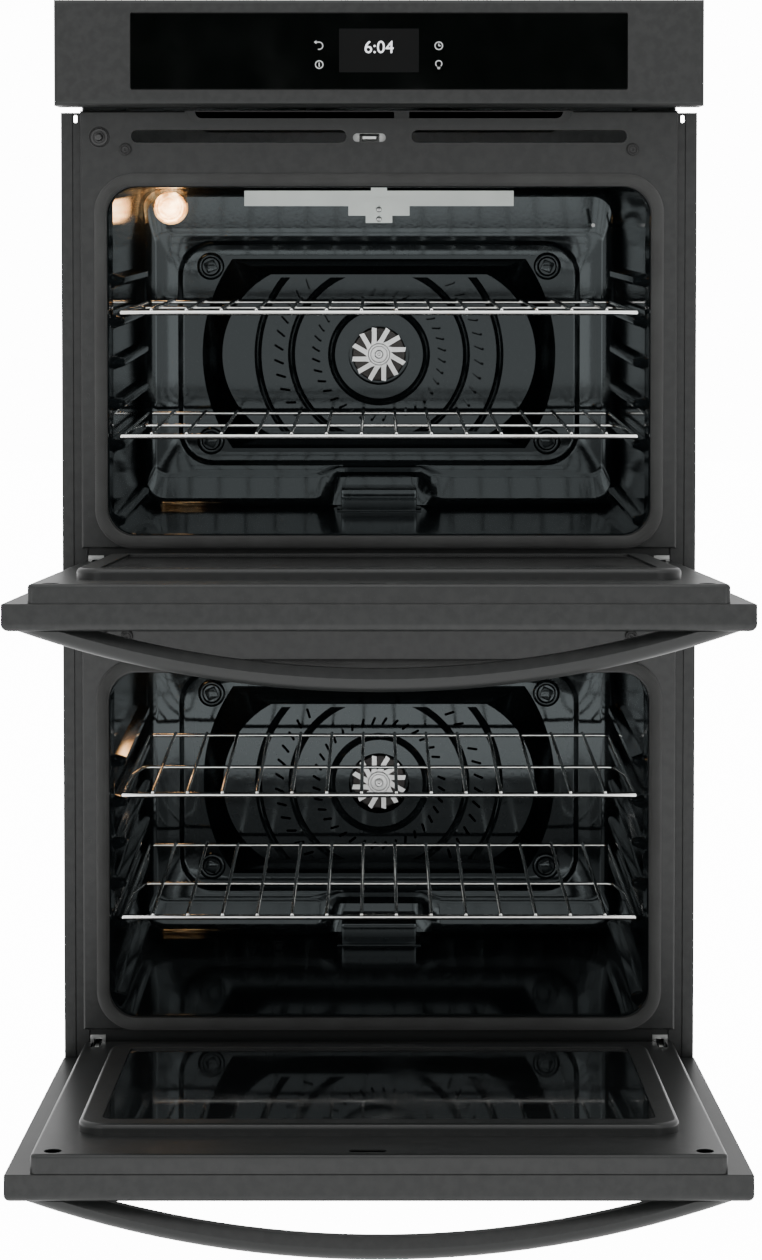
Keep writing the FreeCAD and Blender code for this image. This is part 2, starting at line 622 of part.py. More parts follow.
def fan_motor():
    shell = rod(V(0, MOTOR_FRONT, FAN_HEIGHT), Y, MOTOR_LENGTH, MOTOR_RADIUS)
    rims = [e for e in shell.Edges if e.Length > 10 and abs(e.tangentAt(0).y) < 0.1]
    shell = shell.makeFillet(6, rims)
    bracket = box(-70, 70, MOTOR_FRONT + MOTOR_LENGTH - 20, MOTOR_FRONT + MOTOR_LENGTH - 18,
                  FAN_HEIGHT - 20, FAN_HEIGHT + 20)
    feet = both(box(64, 70, CAVITY_BACK + ENAMEL + 24.7, MOTOR_FRONT + MOTOR_LENGTH - 18,
                    FAN_HEIGHT - 20, FAN_HEIGHT + 20))
    motor = union([shell, bracket] + feet)
    return motor.cut(rod(V(0, MOTOR_FRONT - 1, FAN_HEIGHT), Y, 24, SHAFT + RUNNING))


def lamp_lens():
    dome = Part.makeSphere(LAMP_RADIUS, V(LAMP_X, LAMP_Y + 10, LAMP_Z))
    dome = dome.common(box(LAMP_X - 40, LAMP_X + 40, LAMP_Y - 20, LAMP_Y + 10, LAMP_Z - 40, LAMP_Z + 40))
    barrel = rod(V(LAMP_X, LAMP_Y + 10, LAMP_Z), Y, 10, LAMP_RADIUS)
    lens = union([dome, barrel])
    return lens.cut(rod(V(LAMP_X, LAMP_Y, LAMP_Z), Y, 30, LAMP_RADIUS - 5))


def lamp_socket():
    start = LAMP_Y + 20 + SEAT
    collar = rod(V(LAMP_X, start, LAMP_Z), Y, CAVITY_BACK - SEAT - start, LAMP_RADIUS + 2)
    barrel = rod(V(LAMP_X, start, LAMP_Z), Y, 66, 17)
    return union([collar, barrel])


def lamp_bulb():
    glass = Part.makeSphere(9, V(LAMP_X, LAMP_Y + 10, LAMP_Z))
    neck = rod(V(LAMP_X, LAMP_Y + 10, LAMP_Z), Y, 10, 6)
    return union([glass, neck])


def temperature_probe():
    stem = rod(V(PROBE_X, CAVITY_BACK - 70, PROBE_Z), Y, 100, 2.4)
    back = CAVITY_BACK - SEAT
    plate = box(PROBE_X - 8, PROBE_X + 8, back - SHEET, back, PROBE_Z - 16, PROBE_Z + 16)
    return union([stem, plate])


def baffle_screws():
    """Square-headed screws on tabs at the four corners of each baffle, and two on the bracket."""
    screws = []
    for x in (-BAFFLE_HALF + 15, BAFFLE_HALF - 15):
        for z in (-BAFFLE_HALF_HEIGHT + 14, BAFFLE_HALF_HEIGHT - 14):
            seat = CAVITY_BACK - 2 * SEAT - SHEET
            head = box(x - 5, x + 5, seat - 6, seat, FAN_HEIGHT + z - 5, FAN_HEIGHT + z + 5)
            screws.append(head.makeFillet(1, head.Edges))
    for below in BRACKET_SCREWS:
        screws.append(rod(V(0, BRACKET_Y - SHEET - 2.4, BRACKET_TOP - below), Y, 2.2, 3.6))
    return screws


def switch_body():
    body = box(SWITCH_X - 11, SWITCH_X + 11, FRAME_FACE + SHEET + SEAT, 24, SWITCH_Z - 12, SWITCH_Z + 12)
    flange = rod(V(SWITCH_X, FRAME_FACE - 1.8, SWITCH_Z), Y, 1.6, 12.5)
    sleeve = rod(V(SWITCH_X, FRAME_FACE - 1.8, SWITCH_Z), Y, 6, PLUNGER + 2.4)
    body = union([body, flange, sleeve])
    return body.cut(rod(V(SWITCH_X, FRAME_FACE - 5, SWITCH_Z), Y, 36, PLUNGER + FIT))


def plunger():
    tip = FRAME_FACE - PLUNGER_TRAVEL - GASKET_PROUD
    pin = rod(V(SWITCH_X, tip, SWITCH_Z), Y, 30, PLUNGER)
    return pin.makeFillet(1.4, edges_at(pin, tip))


def bumpers():
    made = []
    for x in (-BUMPER_X, BUMPER_X):
        front = FRAME_FACE - BUMPER_PROUD
        pad = rod(V(x, front, BUMPER_Z), Y, BUMPER_PROUD - SEAT / 2, BUMPER_RADIUS)
        made.append(pad.makeFillet(2.5, edges_at(pad, front)))
    return made


def latch_box():
    x0, x1 = LATCH_X - 26, LATCH_X + 26
    case = box(x0, x1, 6, 96, LATCH_Z - 13, LATCH_Z + 13)
    hollow = box(LATCH_X - 12, LATCH_X + 12, 0, 90, LATCH_Z - 5, LATCH_Z + 5)
    motor = rod(V(LATCH_X, 66, LATCH_Z - 13 - 14), Z, 14, 18)
    return union([case, motor]).cut(hollow)


def latch_hook():
    """Flat bolt with a hooked end, run out by the latch motor through the frame's slot."""
    bar = box(LATCH_X - 8, LATCH_X + 8, -9, 54, LATCH_Z - 1.5, LATCH_Z + 1.5)
    notch = box(LATCH_X - 9, LATCH_X + 1, -3, 3, LATCH_Z - 4, LATCH_Z + 4)
    return bar.cut(notch)


def hinge_receiver():
    z = DOOR_BASE + PIVOT_RISE
    half = CHANNEL_WIDTH / 2 - 2
    tall = RECEIVER_TALL / 2 - 3
    tunnel = ring(box(HINGE_X - half, HINGE_X + half, APRON_FACE - SEAT, RECEIVER_DEPTH, z - tall, z + tall),
                  box(HINGE_X - half + 2, HINGE_X + half - 2, APRON_FACE - 3, RECEIVER_DEPTH - 2,
                      z - tall + 2, z + tall - 2))
    flange = ring(box(HINGE_X - 9.2, HINGE_X + 9.2, 0.3, APRON_FACE - SEAT, z - 16, z + 16),
                  box(HINGE_X - half + 2, HINGE_X + half - 2, -1, 5, z - tall + 2, z + tall - 2))
    return both(union([tunnel, flange]))


def hinge_arm():
    z = DOOR_BASE + PIVOT_RISE
    x0 = HINGE_X - HINGE_PLATE / 2
    bar = box(x0, x0 + HINGE_PLATE, PIVOT_Y, RECEIVER_DEPTH - 4, z - ARM_HALF, z + ARM_HALF)
    eye = rod(V(x0, PIVOT_Y, z), X, HINGE_PLATE, ARM_HALF)
    arm = union([bar, eye])
    arm = arm.cut(rod(V(x0 - 1, PIVOT_Y, z), X, HINGE_PLATE + 2, HINGE_PIN + RUNNING))
    return both(arm)


# ---------------------------------------------------------------- control panel and cooling
def control_housing():
    half = WIDTH / 2
    back = -TRIM_PROUD - 2
    shell = tray(-half, half, PANEL_BASE, HEIGHT, PANEL_FACE, back, SHEET, PANEL_ROUND)
    window = slab(-CONTROL_HALF, CONTROL_HALF, CONTROL_BASE, CONTROL_TOP, 2, PANEL_FACE - 1, PANEL_FACE + 5)
    arms = both(box(BODY_HALF - 30, BODY_HALF - 4, back - SHEET, -SEAT, PANEL_BASE + 10,
                    CHASSIS_TOP - 4))
    webs = both(box(BODY_HALF - 5.2, BODY_HALF - 4, PANEL_FACE + SHEET / 2, -SEAT,
                    PANEL_BASE + SHEET / 2, CHASSIS_TOP - 4))
    return union([shell.cut(window)] + arms + webs)


def control_glass():
    gap = 0.4
    pane = slab(-CONTROL_HALF + gap, CONTROL_HALF - gap, CONTROL_BASE + gap, CONTROL_TOP - gap, 1.8,
                PANEL_FACE + 0.4, PANEL_FACE + 0.4 + GLASS)
    return pane.makeFillet(0.5, edges_at(pane, PANEL_FACE + 0.4))


def control_board():
    y = PANEL_FACE + 0.4 + GLASS + SEAT
    low, high = CONTROL_BASE + 9.6, CONTROL_TOP - 7
    board = box(-180, 180, y + 6, y + 7.6, low, high)
    display = box(-48, 48, y, y + 6, low + 9, high - 10)
    relays = [box(x - 12, x + 12, y + 7.6, y + 26, low + 18, high - 28)
              for x in (-150, -110, -70, 70, 110, 150)]
    posts = [box(x - 4, x + 4, y, y + 6, low + 4, high - 6) for x in (-170, 170)]
    return union([board, display] + relays + posts)


def air_outlet():
    """Flat duct from the blower to the gap under the control panel."""
    z0, z1 = OUTLET_BASE + 1, UPPER_FRAME_TOP
    half = OUTLET_HALF - 1
    y0, y1 = FRAME_FACE + OUTLET_SUNK + SHEET + SEAT, BLOWER_Y + 60
    outer = box(-half, half, y0, y1, z0, z1)
    inner = box(-half + SHEET, half - SHEET, y0 - 1, y1 - SHEET, z0 + SHEET, z1 - SHEET)
    stay = box(18, 36, y0 + 2, y0 + 2 + SHEET, z0 + SHEET / 2, z1 - SHEET / 2)
    duct = union([outer.cut(inner), stay])
    return duct.cut(rod(V(0, BLOWER_Y, z1 - 5), Z, 10, EYE_RADIUS))


def blower_housing():
    z0 = UPPER_FRAME_TOP + SEAT
    top = BLOWER_BASE + BLOWER_TALL
    drum = rod(V(0, BLOWER_Y, z0), Z, top - z0, BLOWER_RADIUS)
    hollow = rod(V(0, BLOWER_Y, z0 + SHEET), Z, top - z0 - 2 * SHEET, BLOWER_RADIUS - SHEET)
    case = drum.cut(hollow)
    case = case.cut(rod(V(0, BLOWER_Y, z0 - 1), Z, 5, EYE_RADIUS))
    case = case.cut(rod(V(0, BLOWER_Y, top - 5), Z, 10, 4.5))
    return case


def blower_motor():
    z0 = BLOWER_BASE + BLOWER_TALL + SEAT
    shell = rod(V(0, BLOWER_Y, z0), Z, 34, 34)
    shell = shell.makeFillet(4, [e for e in shell.Edges if abs(e.CenterOfMass.z - z0 - 34) < 0.01])
    return shell.cut(rod(V(0, BLOWER_Y, z0 - 1), Z, 24, SHAFT + RUNNING))


def blower_wheel():
    z0 = UPPER_FRAME_TOP + 8
    top = BLOWER_BASE + BLOWER_TALL - 8
    plate = rod(V(0, BLOWER_Y, top - SHEET), Z, SHEET, WHEEL_RADIUS)
    rim = ring(rod(V(0, BLOWER_Y, z0), Z, 2, WHEEL_RADIUS),
               rod(V(0, BLOWER_Y, z0 - 1), Z, 4, WHEEL_RADIUS - 10))
    shaft = rod(V(0, BLOWER_Y, top - 14), Z, BLOWER_TALL + BLOWER_BASE + 20 - top + 14, SHAFT)
    hub = rod(V(0, BLOWER_Y, top - 14), Z, 13, 9)
    pieces = [plate, rim, shaft, hub]
    for i in range(WHEEL_BLADES):
        blade = box(WHEEL_RADIUS - 9, WHEEL_RADIUS - 1, -0.5, 0.5, z0 + 1, top - 0.5)
        blade.rotate(V(WHEEL_RADIUS - 5, 0, 0), Z, 35)
        blade.rotate(V(0, 0, 0), Z, i * 360 / WHEEL_BLADES)
        pieces.append(moved(blade, y=BLOWER_Y))
    return union(pieces)


def conduit_gland():
    start = V(GLAND_X, DEPTH - 14, GLAND_Z)
    sleeve = rod(start, Y, 14 + 10, GLAND_RADIUS)
    nut = rod(start, Y, 11, GLAND_RADIUS + 6)
    collar = rod(V(start.x, DEPTH + SEAT, start.z), Y, 4, GLAND_RADIUS + 5)
    gland = union([sleeve, nut, collar])
    return gland.cut(rod(V(start.x, start.y - 1, start.z), Y, 40, GLAND_BORE))


# ---------------------------------------------------------------- racks
def rack():
    """Chromed wire rack; the front rail's axis lies at height 0."""
    back = RACK_FRONT + RACK_DEPTH
    side_x = RACK_HALF - RACK_SIDE
    front = rod(V(-side_x, RACK_FRONT, 0), X, 2 * side_x, RACK_RAIL)
    ends = both(Part.makeSphere(RACK_RAIL, V(side_x, RACK_FRONT, 0)).common(
        box(side_x - 5, RACK_HALF, 0, 100, -10, 10)))
    loop = tube([(side_x, RACK_FRONT, 0), (side_x, back, 0), (-side_x, back, 0), (-side_x, RACK_FRONT, 0)],
                RACK_SIDE, 10)
    mid = rod(V(-side_x, RACK_FRONT + RACK_MID, 0), X, 2 * side_x, RACK_SIDE)
    top = RACK_SIDE + RACK_WIRE - 0.9
    wires = []
    for i in range(RACK_WIRES):
        x = (i - (RACK_WIRES - 1) / 2) * RACK_PITCH
        wires.append(rod(V(x, RACK_FRONT - 1.5, top), Y, RACK_DEPTH + 1.5, RACK_WIRE))
        wires += [Part.makeSphere(RACK_WIRE, V(x, y, top)) for y in (RACK_FRONT - 1.5, back)]
    return union([front, mid, loop] + ends + wires)


# ---------------------------------------------------------------- doors, modelled shut
def door_skin():
    half = WIDTH / 2
    outer = box(-half, half, DOOR_FACE, SKIN_BACK, 0, DOOR_HEIGHT)
    outer = outer.makeFillet(DOOR_ROUND, edges_at(outer, DOOR_FACE))
    outer = outer.makeFillet(FOLD_ROUND, edges_at(outer, SKIN_BACK))
    inner = box(-half + SHEET, half - SHEET, DOOR_FACE + SHEET, SKIN_BACK - SHEET, SHEET, DOOR_HEIGHT - SHEET)
    shell = outer.cut(inner.makeFillet(DOOR_ROUND - SHEET, edges_at(inner, DOOR_FACE + SHEET)))
    shell = shell.cut(box(-LINER_HALF + 6, LINER_HALF - 6, SKIN_BACK - 5, SKIN_BACK + 5, 8, DOOR_HEIGHT - 8))
    window = slab(-WINDOW_HALF, WINDOW_HALF, WINDOW_BASE, WINDOW_TOP, 6, DOOR_FACE - 1, DOOR_FACE + 5)
    return shell.cut(window)


def door_glass():
    gap = 0.4
    y = DOOR_FACE + 0.4
    pane = slab(-WINDOW_HALF + gap, WINDOW_HALF - gap, WINDOW_BASE + gap, WINDOW_TOP - gap, 5.6, y, y + GLASS)
    back = slab(-WINDOW_HALF - 12, WINDOW_HALF + 12, WINDOW_BASE - 12, WINDOW_TOP + 12, 8,
                DOOR_FACE + SHEET + SEAT, y + GLASS)
    return union([pane, back])


def door_liner():
    """Enamelled inner sheet: a shallow tray with the raised window surround."""
    bottom, top = 2.0, DOOR_HEIGHT - 2
    outer = slab(-LINER_HALF, LINER_HALF, bottom, top, 6, SKIN_BACK + SEAT, LINER_FACE)
    outer = outer.makeFillet(LINER_ROUND, edges_at(outer, LINER_FACE))
    inner = slab(-LINER_HALF + SHEET, LINER_HALF - SHEET, bottom + SHEET, top - SHEET, 5,
                 SKIN_BACK - 1, LINER_FACE - SHEET)
    inner = inner.makeFillet(LINER_ROUND - SHEET, edges_at(inner, LINER_FACE - SHEET))
    proud = LINER_FACE + SURROUND_PROUD
    raised = slab(-SURROUND_HALF, SURROUND_HALF, SURROUND_BASE, SURROUND_TOP, 28, LINER_FACE - 0.5, proud)
    raised = raised.makeFillet(5, edges_at(raised, proud))
    hollow = slab(-SURROUND_HALF + SHEET, SURROUND_HALF - SHEET, SURROUND_BASE + SHEET, SURROUND_TOP - SHEET,
                  26.8, SKIN_BACK, proud - SHEET)
    hollow = hollow.makeFillet(5 - SHEET, edges_at(hollow, proud - SHEET))
    liner = union([outer.cut(inner), raised]).cut(hollow)
    half = INNER_GLASS_HALF
    liner = liner.cut(slab(-half, half, INNER_GLASS_BASE, INNER_GLASS_TOP, 12, proud - 10, proud + 5))
    for slot in both(box(HINGE_X - 6, HINGE_X + 6, SKIN_BACK - 1, LINER_FACE + 1, -1, PIVOT_RISE + 9)):
        liner = liner.cut(slot)
    z = SWITCH_Z - DOOR_BASE
    for x in (SWITCH_X, -SWITCH_X):
        liner = liner.cut(rod(V(x, LINER_FACE - 5, z), Y, 10, POCKET))
    z = LATCH_Z - DOOR_BASE
    return liner.cut(slab(LATCH_X - LATCH_HALF, LATCH_X + LATCH_HALF, z - 5, z + 5, 4.9,
                         LINER_FACE - 5, LINER_FACE + 5))


def inner_glass():
    lap = 8.0
    y = LINER_FACE + SURROUND_PROUD - SHEET - SEAT
    return slab(-INNER_GLASS_HALF - lap, INNER_GLASS_HALF + lap, INNER_GLASS_BASE - lap, INNER_GLASS_TOP + lap,
                14, y - GLASS, y)


def handle():
    """Bar bowed away from the door, sliced off by the door's face at both ends."""
    centre = HANDLE_RADIUS - HANDLE_STANDOFF
    level = DOOR_HEIGHT - HANDLE_BELOW_TOP
    front = DOOR_FACE - HANDLE_STANDOFF
    back = front + HANDLE_THICK
    tall = HANDLE_TALL / 2
    flat = 5.0
    crown = V(0, front, level)
    upper = V(0, front + HANDLE_CROWN, level + tall)
    lower = V(0, front + HANDLE_CROWN, level - tall)
    rear = [V(0, back, level - flat), V(0, back, level + flat)]
    outline = Part.Wire([Part.Arc(upper, crown, lower).toShape(), Part.makeLine(lower, rear[0]),
                         Part.makeLine(rear[0], rear[1]), Part.makeLine(rear[1], upper)])
    sweep = math.degrees(math.asin(WIDTH / 2 / HANDLE_RADIUS))
    section = Part.Face(outline)
    axis = V(0, DOOR_FACE + centre, level)
    section.rotate(axis, Z, -sweep)
    bar = section.revolve(axis, Z, 2 * sweep)
    block = box(-WIDTH, WIDTH, DOOR_FACE - 2 * HANDLE_STANDOFF, DOOR_FACE - SEAT, 0, 2 * DOOR_HEIGHT)
    return bar.common(block)


def hinge_channel():
    """Folded channel inside the door with the hinge pin and the closing spring's housing."""
    half = CHANNEL_WIDTH / 2
    y0, y1 = DOOR_FACE + GLASS + 2, LINER_FACE - SHEET - SEAT
    outer = box(HINGE_X - half, HINGE_X + half, y0, y1, SHEET + 6, 150)
    inner = box(HINGE_X - half + SHEET, HINGE_X + half - SHEET, y0 + SHEET, y1 + 1, SHEET + 5, 151)
    notch = box(HINGE_X - half - 1, HINGE_X + half + 1, SKIN_BACK - SHEET - SEAT, y1 + 1, 0, 10)
    pin = rod(V(HINGE_X - half, PIVOT_Y, PIVOT_RISE), X, CHANNEL_WIDTH, HINGE_PIN)
    spring = rod(V(HINGE_X, (y0 + y1) / 2 - 6, 60), Z, 80, 6.6)
    strap = box(HINGE_X - half, HINGE_X + half, (y0 + y1) / 2 - 8, (y0 + y1) / 2 - 4, 136, 146)
    return both(union([outer.cut(inner).cut(notch), pin, spring, strap]))


def opened(shape, rise):
    """A door piece set at its module's height and swung open about the hinge pins."""
    pieces = shape if isinstance(shape, list) else [shape]
    done = []
    for piece in pieces:
        piece = moved(piece, z=rise + DOOR_BASE)
        piece.rotate(V(0, PIVOT_Y, rise + DOOR_BASE + PIVOT_RISE), X, DOOR_OPEN)
        done.append(piece)
    return done


os.makedirs("parts", exist_ok=True)
save("side_panels", side_panels())
save("back_panel", back_panel())
save("base_pan", base_pan())
save("top_panel", top_panel())
save("mid_divider", mid_divider())
save("front_frame_lower", front_frame(0.0, KICK_HEIGHT + SEAT, LOWER_FRAME_TOP))
save("front_frame_upper", front_frame_upper())
save("side_trims", side_trims())
save("bottom_trim", bottom_trim())
save("insulation", per_oven(insulation))
save("broil_elements", per_oven(broil_element))
save("broil_brackets", per_oven(broil_bracket))
save("bake_elements", per_oven(bake_element))
save("ring_elements", per_oven(ring_element))
save("fan_motors", per_oven(fan_motor) + [blower_motor()])
save("lamp_lenses", per_oven(lamp_lens))
save("lamp_sockets", per_oven(lamp_socket))
save("lamp_bulbs", per_oven(lamp_bulb))
save("temperature_probes", per_oven(temperature_probe))
save("cavity_screws", per_oven(baffle_screws))
save("switch_bodies", per_oven(switch_body))
save("bumpers", per_oven(bumpers))
save("latch_boxes", per_oven(latch_box))
save("hinge_receivers", per_oven(hinge_receiver))
save("hinge_arms", per_oven(hinge_arm))
save("control_housing", control_housing())
save("control_glass", control_glass())
save("control_board", control_board())
save("air_outlet", air_outlet())
save("blower_housing", blower_housing())
save("blower_wheel", blower_wheel())
save("conduit_gland", conduit_gland())

one_rack = rack()
for oven, rise in MODULES.items():
    save("cavity_" + oven, cavity(rise))
    save("gasket_" + oven, gasket(rise))
    save("fan_baffle_" + oven, moved(fan_baffle(), z=rise))
    save("fan_wheel_" + oven, moved(fan_wheel(), z=rise))
    save("plunger_" + oven, moved(plunger(), z=rise))
    save("latch_hook_" + oven, moved(latch_hook(), z=rise))
    for place, level in RACKS_USED.items():
        height = rise + CAVITY_FLOOR + RACK_LEVELS[level]
        save("rack_%s_%s" % (oven, place), moved(one_rack, z=height))
    save("door_skin_" + oven, opened(door_skin(), rise))
    save("door_glass_" + oven, opened(door_glass(), rise))
    save("door_liner_" + oven, opened(door_liner(), rise))
    save("inner_glass_" + oven, opened(inner_glass(), rise))
    save("handle_" + oven, opened(handle(), rise))
    save("hinge_channels_" + oven, opened(hinge_channel(), rise))
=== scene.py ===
"""Studio scene of a built-in double wall oven: enamel, chrome, glass and braid on the CAD frame."""
import json
import math

import bmesh
import bpy
from mathutils import Matrix, Vector

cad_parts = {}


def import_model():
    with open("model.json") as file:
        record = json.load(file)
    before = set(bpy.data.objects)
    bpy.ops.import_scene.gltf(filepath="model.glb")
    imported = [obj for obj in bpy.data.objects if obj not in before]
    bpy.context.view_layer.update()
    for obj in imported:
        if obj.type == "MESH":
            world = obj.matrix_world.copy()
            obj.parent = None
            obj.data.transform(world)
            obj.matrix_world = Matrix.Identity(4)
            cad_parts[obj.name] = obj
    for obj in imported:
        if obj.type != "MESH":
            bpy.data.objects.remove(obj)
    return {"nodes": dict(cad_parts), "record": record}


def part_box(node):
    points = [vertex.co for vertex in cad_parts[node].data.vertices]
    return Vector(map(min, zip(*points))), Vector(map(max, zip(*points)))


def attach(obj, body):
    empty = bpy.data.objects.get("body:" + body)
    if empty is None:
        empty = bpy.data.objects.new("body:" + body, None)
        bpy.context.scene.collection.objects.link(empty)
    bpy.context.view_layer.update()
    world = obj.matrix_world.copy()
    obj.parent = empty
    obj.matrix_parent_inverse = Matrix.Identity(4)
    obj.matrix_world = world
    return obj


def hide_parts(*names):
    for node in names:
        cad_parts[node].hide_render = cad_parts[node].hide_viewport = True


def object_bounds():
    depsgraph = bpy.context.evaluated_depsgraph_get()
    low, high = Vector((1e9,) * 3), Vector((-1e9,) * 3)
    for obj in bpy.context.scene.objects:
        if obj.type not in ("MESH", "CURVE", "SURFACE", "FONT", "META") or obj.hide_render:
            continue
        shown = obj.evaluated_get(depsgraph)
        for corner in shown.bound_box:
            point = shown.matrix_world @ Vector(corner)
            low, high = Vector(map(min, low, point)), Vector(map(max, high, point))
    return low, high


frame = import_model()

CAD_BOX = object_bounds()
OVENS = ("lower", "upper")
SEEN_WHITE = 14.0        # strength of the white surroundings as the camera sees them
MIRRORED_WHITE = 1.4     # and as glossy surfaces mirror them

# ------------------------------------------------------------------ shader helpers


class Graph:
    """Adds nodes to one shader tree and links them."""

    def __init__(self, tree):
        self.tree = tree

    def add(self, kind, inputs=None, **settings):
        node = self.tree.nodes.new(kind)
        for key, value in settings.items():
            setattr(node, key, value)
        for key, value in (inputs or {}).items():
            self.feed(value, node.inputs[key])
        return node

    def feed(self, value, socket):
        if isinstance(value, bpy.types.NodeSocket):
            self.tree.links.new(value, socket)
        else:
            socket.default_value = value

    def math(self, operation, a, b=0.0, clamp=False):
        return self.add("ShaderNodeMath", {0: a, 1: b}, operation=operation, use_clamp=clamp).outputs[0]

    def spread(self, value, low, high, to_low=0.0, to_high=1.0):
        """Value moved from one range to another, held at both ends."""
        inputs = {"Value": value, "From Min": low, "From Max": high, "To Min": to_low, "To Max": to_high}
        return self.add("ShaderNodeMapRange", inputs).outputs["Result"]

    def mix(self, factor, a, b):
        node = self.add("ShaderNodeMix", data_type="RGBA")
        self.feed(factor, node.inputs["Factor"])
        self.feed(a, node.inputs["A"])
        self.feed(b, node.inputs["B"])
        return node.outputs["Result"]

    def stretch(self, scale):
        place = self.add("ShaderNodeTexCoord").outputs["Object"]
        return self.add("ShaderNodeMapping", {"Vector": place, "Scale": scale}).outputs["Vector"]

    def noise(self, scale, detail=2.0, vector=None, roughness=0.5):
        inputs = {"Scale": scale, "Detail": detail, "Roughness": roughness}
        inputs["Vector"] = vector or self.add("ShaderNodeTexCoord").outputs["Object"]
        return self.add("ShaderNodeTexNoise", inputs).outputs["Fac"]


def new_group(name, inputs, outputs):
    """A shader node group with typed, named sockets; returns its graph and its two end nodes."""
    tree = bpy.data.node_groups.new(name, "ShaderNodeTree")
    for label, kind, value in inputs:
        socket = tree.interface.new_socket(label, in_out="INPUT", socket_type=kind)
        socket.default_value = value
    for label, kind in outputs:
        tree.interface.new_socket(label, in_out="OUTPUT", socket_type=kind)
    graph = Graph(tree)
    return graph, graph.add("NodeGroupInput").outputs, graph.add("NodeGroupOutput").inputs


FLOAT, COLOUR = "NodeSocketFloat", "NodeSocketColor"


def edge_wear_group():
    """Where outer edges have rubbed, broken up by noise."""
    sockets = [("Amount", FLOAT, 0.5), ("Scale", FLOAT, 90.0)]
    g, given, out = new_group("edge wear", sockets, [("Mask", FLOAT)])
    sharp = g.spread(g.add("ShaderNodeNewGeometry").outputs["Pointiness"], 0.515, 0.57)
    patch = g.spread(g.noise(given["Scale"], 4.0), 0.38, 0.62)
    g.feed(g.math("MULTIPLY", g.math("MULTIPLY", sharp, patch), given["Amount"], clamp=True), out["Mask"])
    return g.tree


def finish_group():
    """Uneven gloss and the faint ripple of a fired or sprayed coat."""
    sockets = [("Roughness", FLOAT, 0.3), ("Variation", FLOAT, 0.06), ("Fine scale", FLOAT, 700.0),
               ("Broad scale", FLOAT, 6.0)]
    g, given, out = new_group("coat finish", sockets, [("Roughness", FLOAT), ("Height", FLOAT)])
    fine = g.noise(given["Fine scale"], 2.0)
    broad = g.noise(given["Broad scale"], 3.0)
    blend = g.math("ADD", g.math("MULTIPLY", fine, 0.35), g.math("MULTIPLY", broad, 0.65))
    uneven = g.math("SUBTRACT", blend, 0.5)
    swing = g.math("MULTIPLY", g.math("MULTIPLY", uneven, 2.0), given["Variation"])
    g.feed(g.math("ADD", given["Roughness"], swing, clamp=True), out["Roughness"])
    g.feed(fine, out["Height"])
    return g.tree


def specks_group():
    """Tiny pale flecks scattered in a dark enamel."""
    sockets = [("Ground", COLOUR, (0, 0, 0, 1)), ("Fleck", COLOUR, (1, 1, 1, 1)), ("Scale", FLOAT, 420.0),
               ("Amount", FLOAT, 0.2)]
    g, given, out = new_group("enamel flecks", sockets, [("Colour", COLOUR)])
    cells = g.add("ShaderNodeTexVoronoi", {"Scale": given["Scale"], "Randomness": 1.0})
    g.feed(g.add("ShaderNodeTexCoord").outputs["Object"], cells.inputs["Vector"])
    near = g.spread(cells.outputs["Distance"], 0.10, 0.24, 1.0, 0.0)
    chosen = g.spread(g.noise(310.0, 1.0), 0.56, 0.66)
    fleck = g.math("MULTIPLY", g.math("MULTIPLY", near, chosen), given["Amount"], clamp=True)
    g.feed(g.mix(fleck, given["Ground"], given["Fleck"]), out["Colour"])
    return g.tree


def brushed_group():
    """Fine parallel scratches of rolled or brushed sheet."""
    sockets = [("Roughness", FLOAT, 0.3), ("Depth", FLOAT, 0.1), ("Across", FLOAT, 1200.0),
               ("Along", FLOAT, 30.0)]
    g, given, out = new_group("brushed metal", sockets, [("Roughness", FLOAT), ("Height", FLOAT)])
    scale = g.add("ShaderNodeCombineXYZ", {"X": given["Along"], "Y": given["Across"], "Z": given["Across"]})
    place = g.add("ShaderNodeTexCoord").outputs["Object"]
    drawn = g.add("ShaderNodeMapping", {"Vector": place, "Scale": scale.outputs[0]}).outputs[0]
    grain = g.noise(1.0, 3.0, drawn)
    swing = g.math("MULTIPLY", g.math("SUBTRACT", grain, 0.5), given["Depth"])
    g.feed(g.math("ADD", given["Roughness"], swing, clamp=True), out["Roughness"])
    g.feed(grain, out["Height"])
    return g.tree


def smudge_group():
    """Finger marks and wipe streaks on something glossy."""
    sockets = [("Clean", FLOAT, 0.03), ("Marked", FLOAT, 0.16)]
    g, given, out = new_group("smudges", sockets, [("Roughness", FLOAT)])
    streak = g.noise(1.0, 3.0, g.stretch((9.0, 9.0, 3.0)))
    mark = g.spread(g.math("MULTIPLY", g.noise(14.0, 3.0), streak), 0.24, 0.46)
    g.feed(g.spread(mark, 0.0, 1.0, given["Clean"], given["Marked"]), out["Roughness"])
    return g.tree


def patches_group():
    """Soft-edged patches where a finish has gone dull, dusty or a shade darker."""
    sockets = [("Scale", FLOAT, 20.0), ("Detail", FLOAT, 3.0), ("From", FLOAT, 0.35), ("To", FLOAT, 0.7)]
    g, given, out = new_group("dull patches", sockets, [("Mask", FLOAT), ("Grain", FLOAT)])
    grain = g.noise(given["Scale"], given["Detail"])
    g.feed(g.spread(grain, given["From"], given["To"]), out["Mask"])
    g.feed(grain, out["Grain"])
    return g.tree


GROUPS = {"wear": edge_wear_group(), "coat": finish_group(), "flecks": specks_group(),
          "brushed": brushed_group(), "smudges": smudge_group(), "patches": patches_group()}


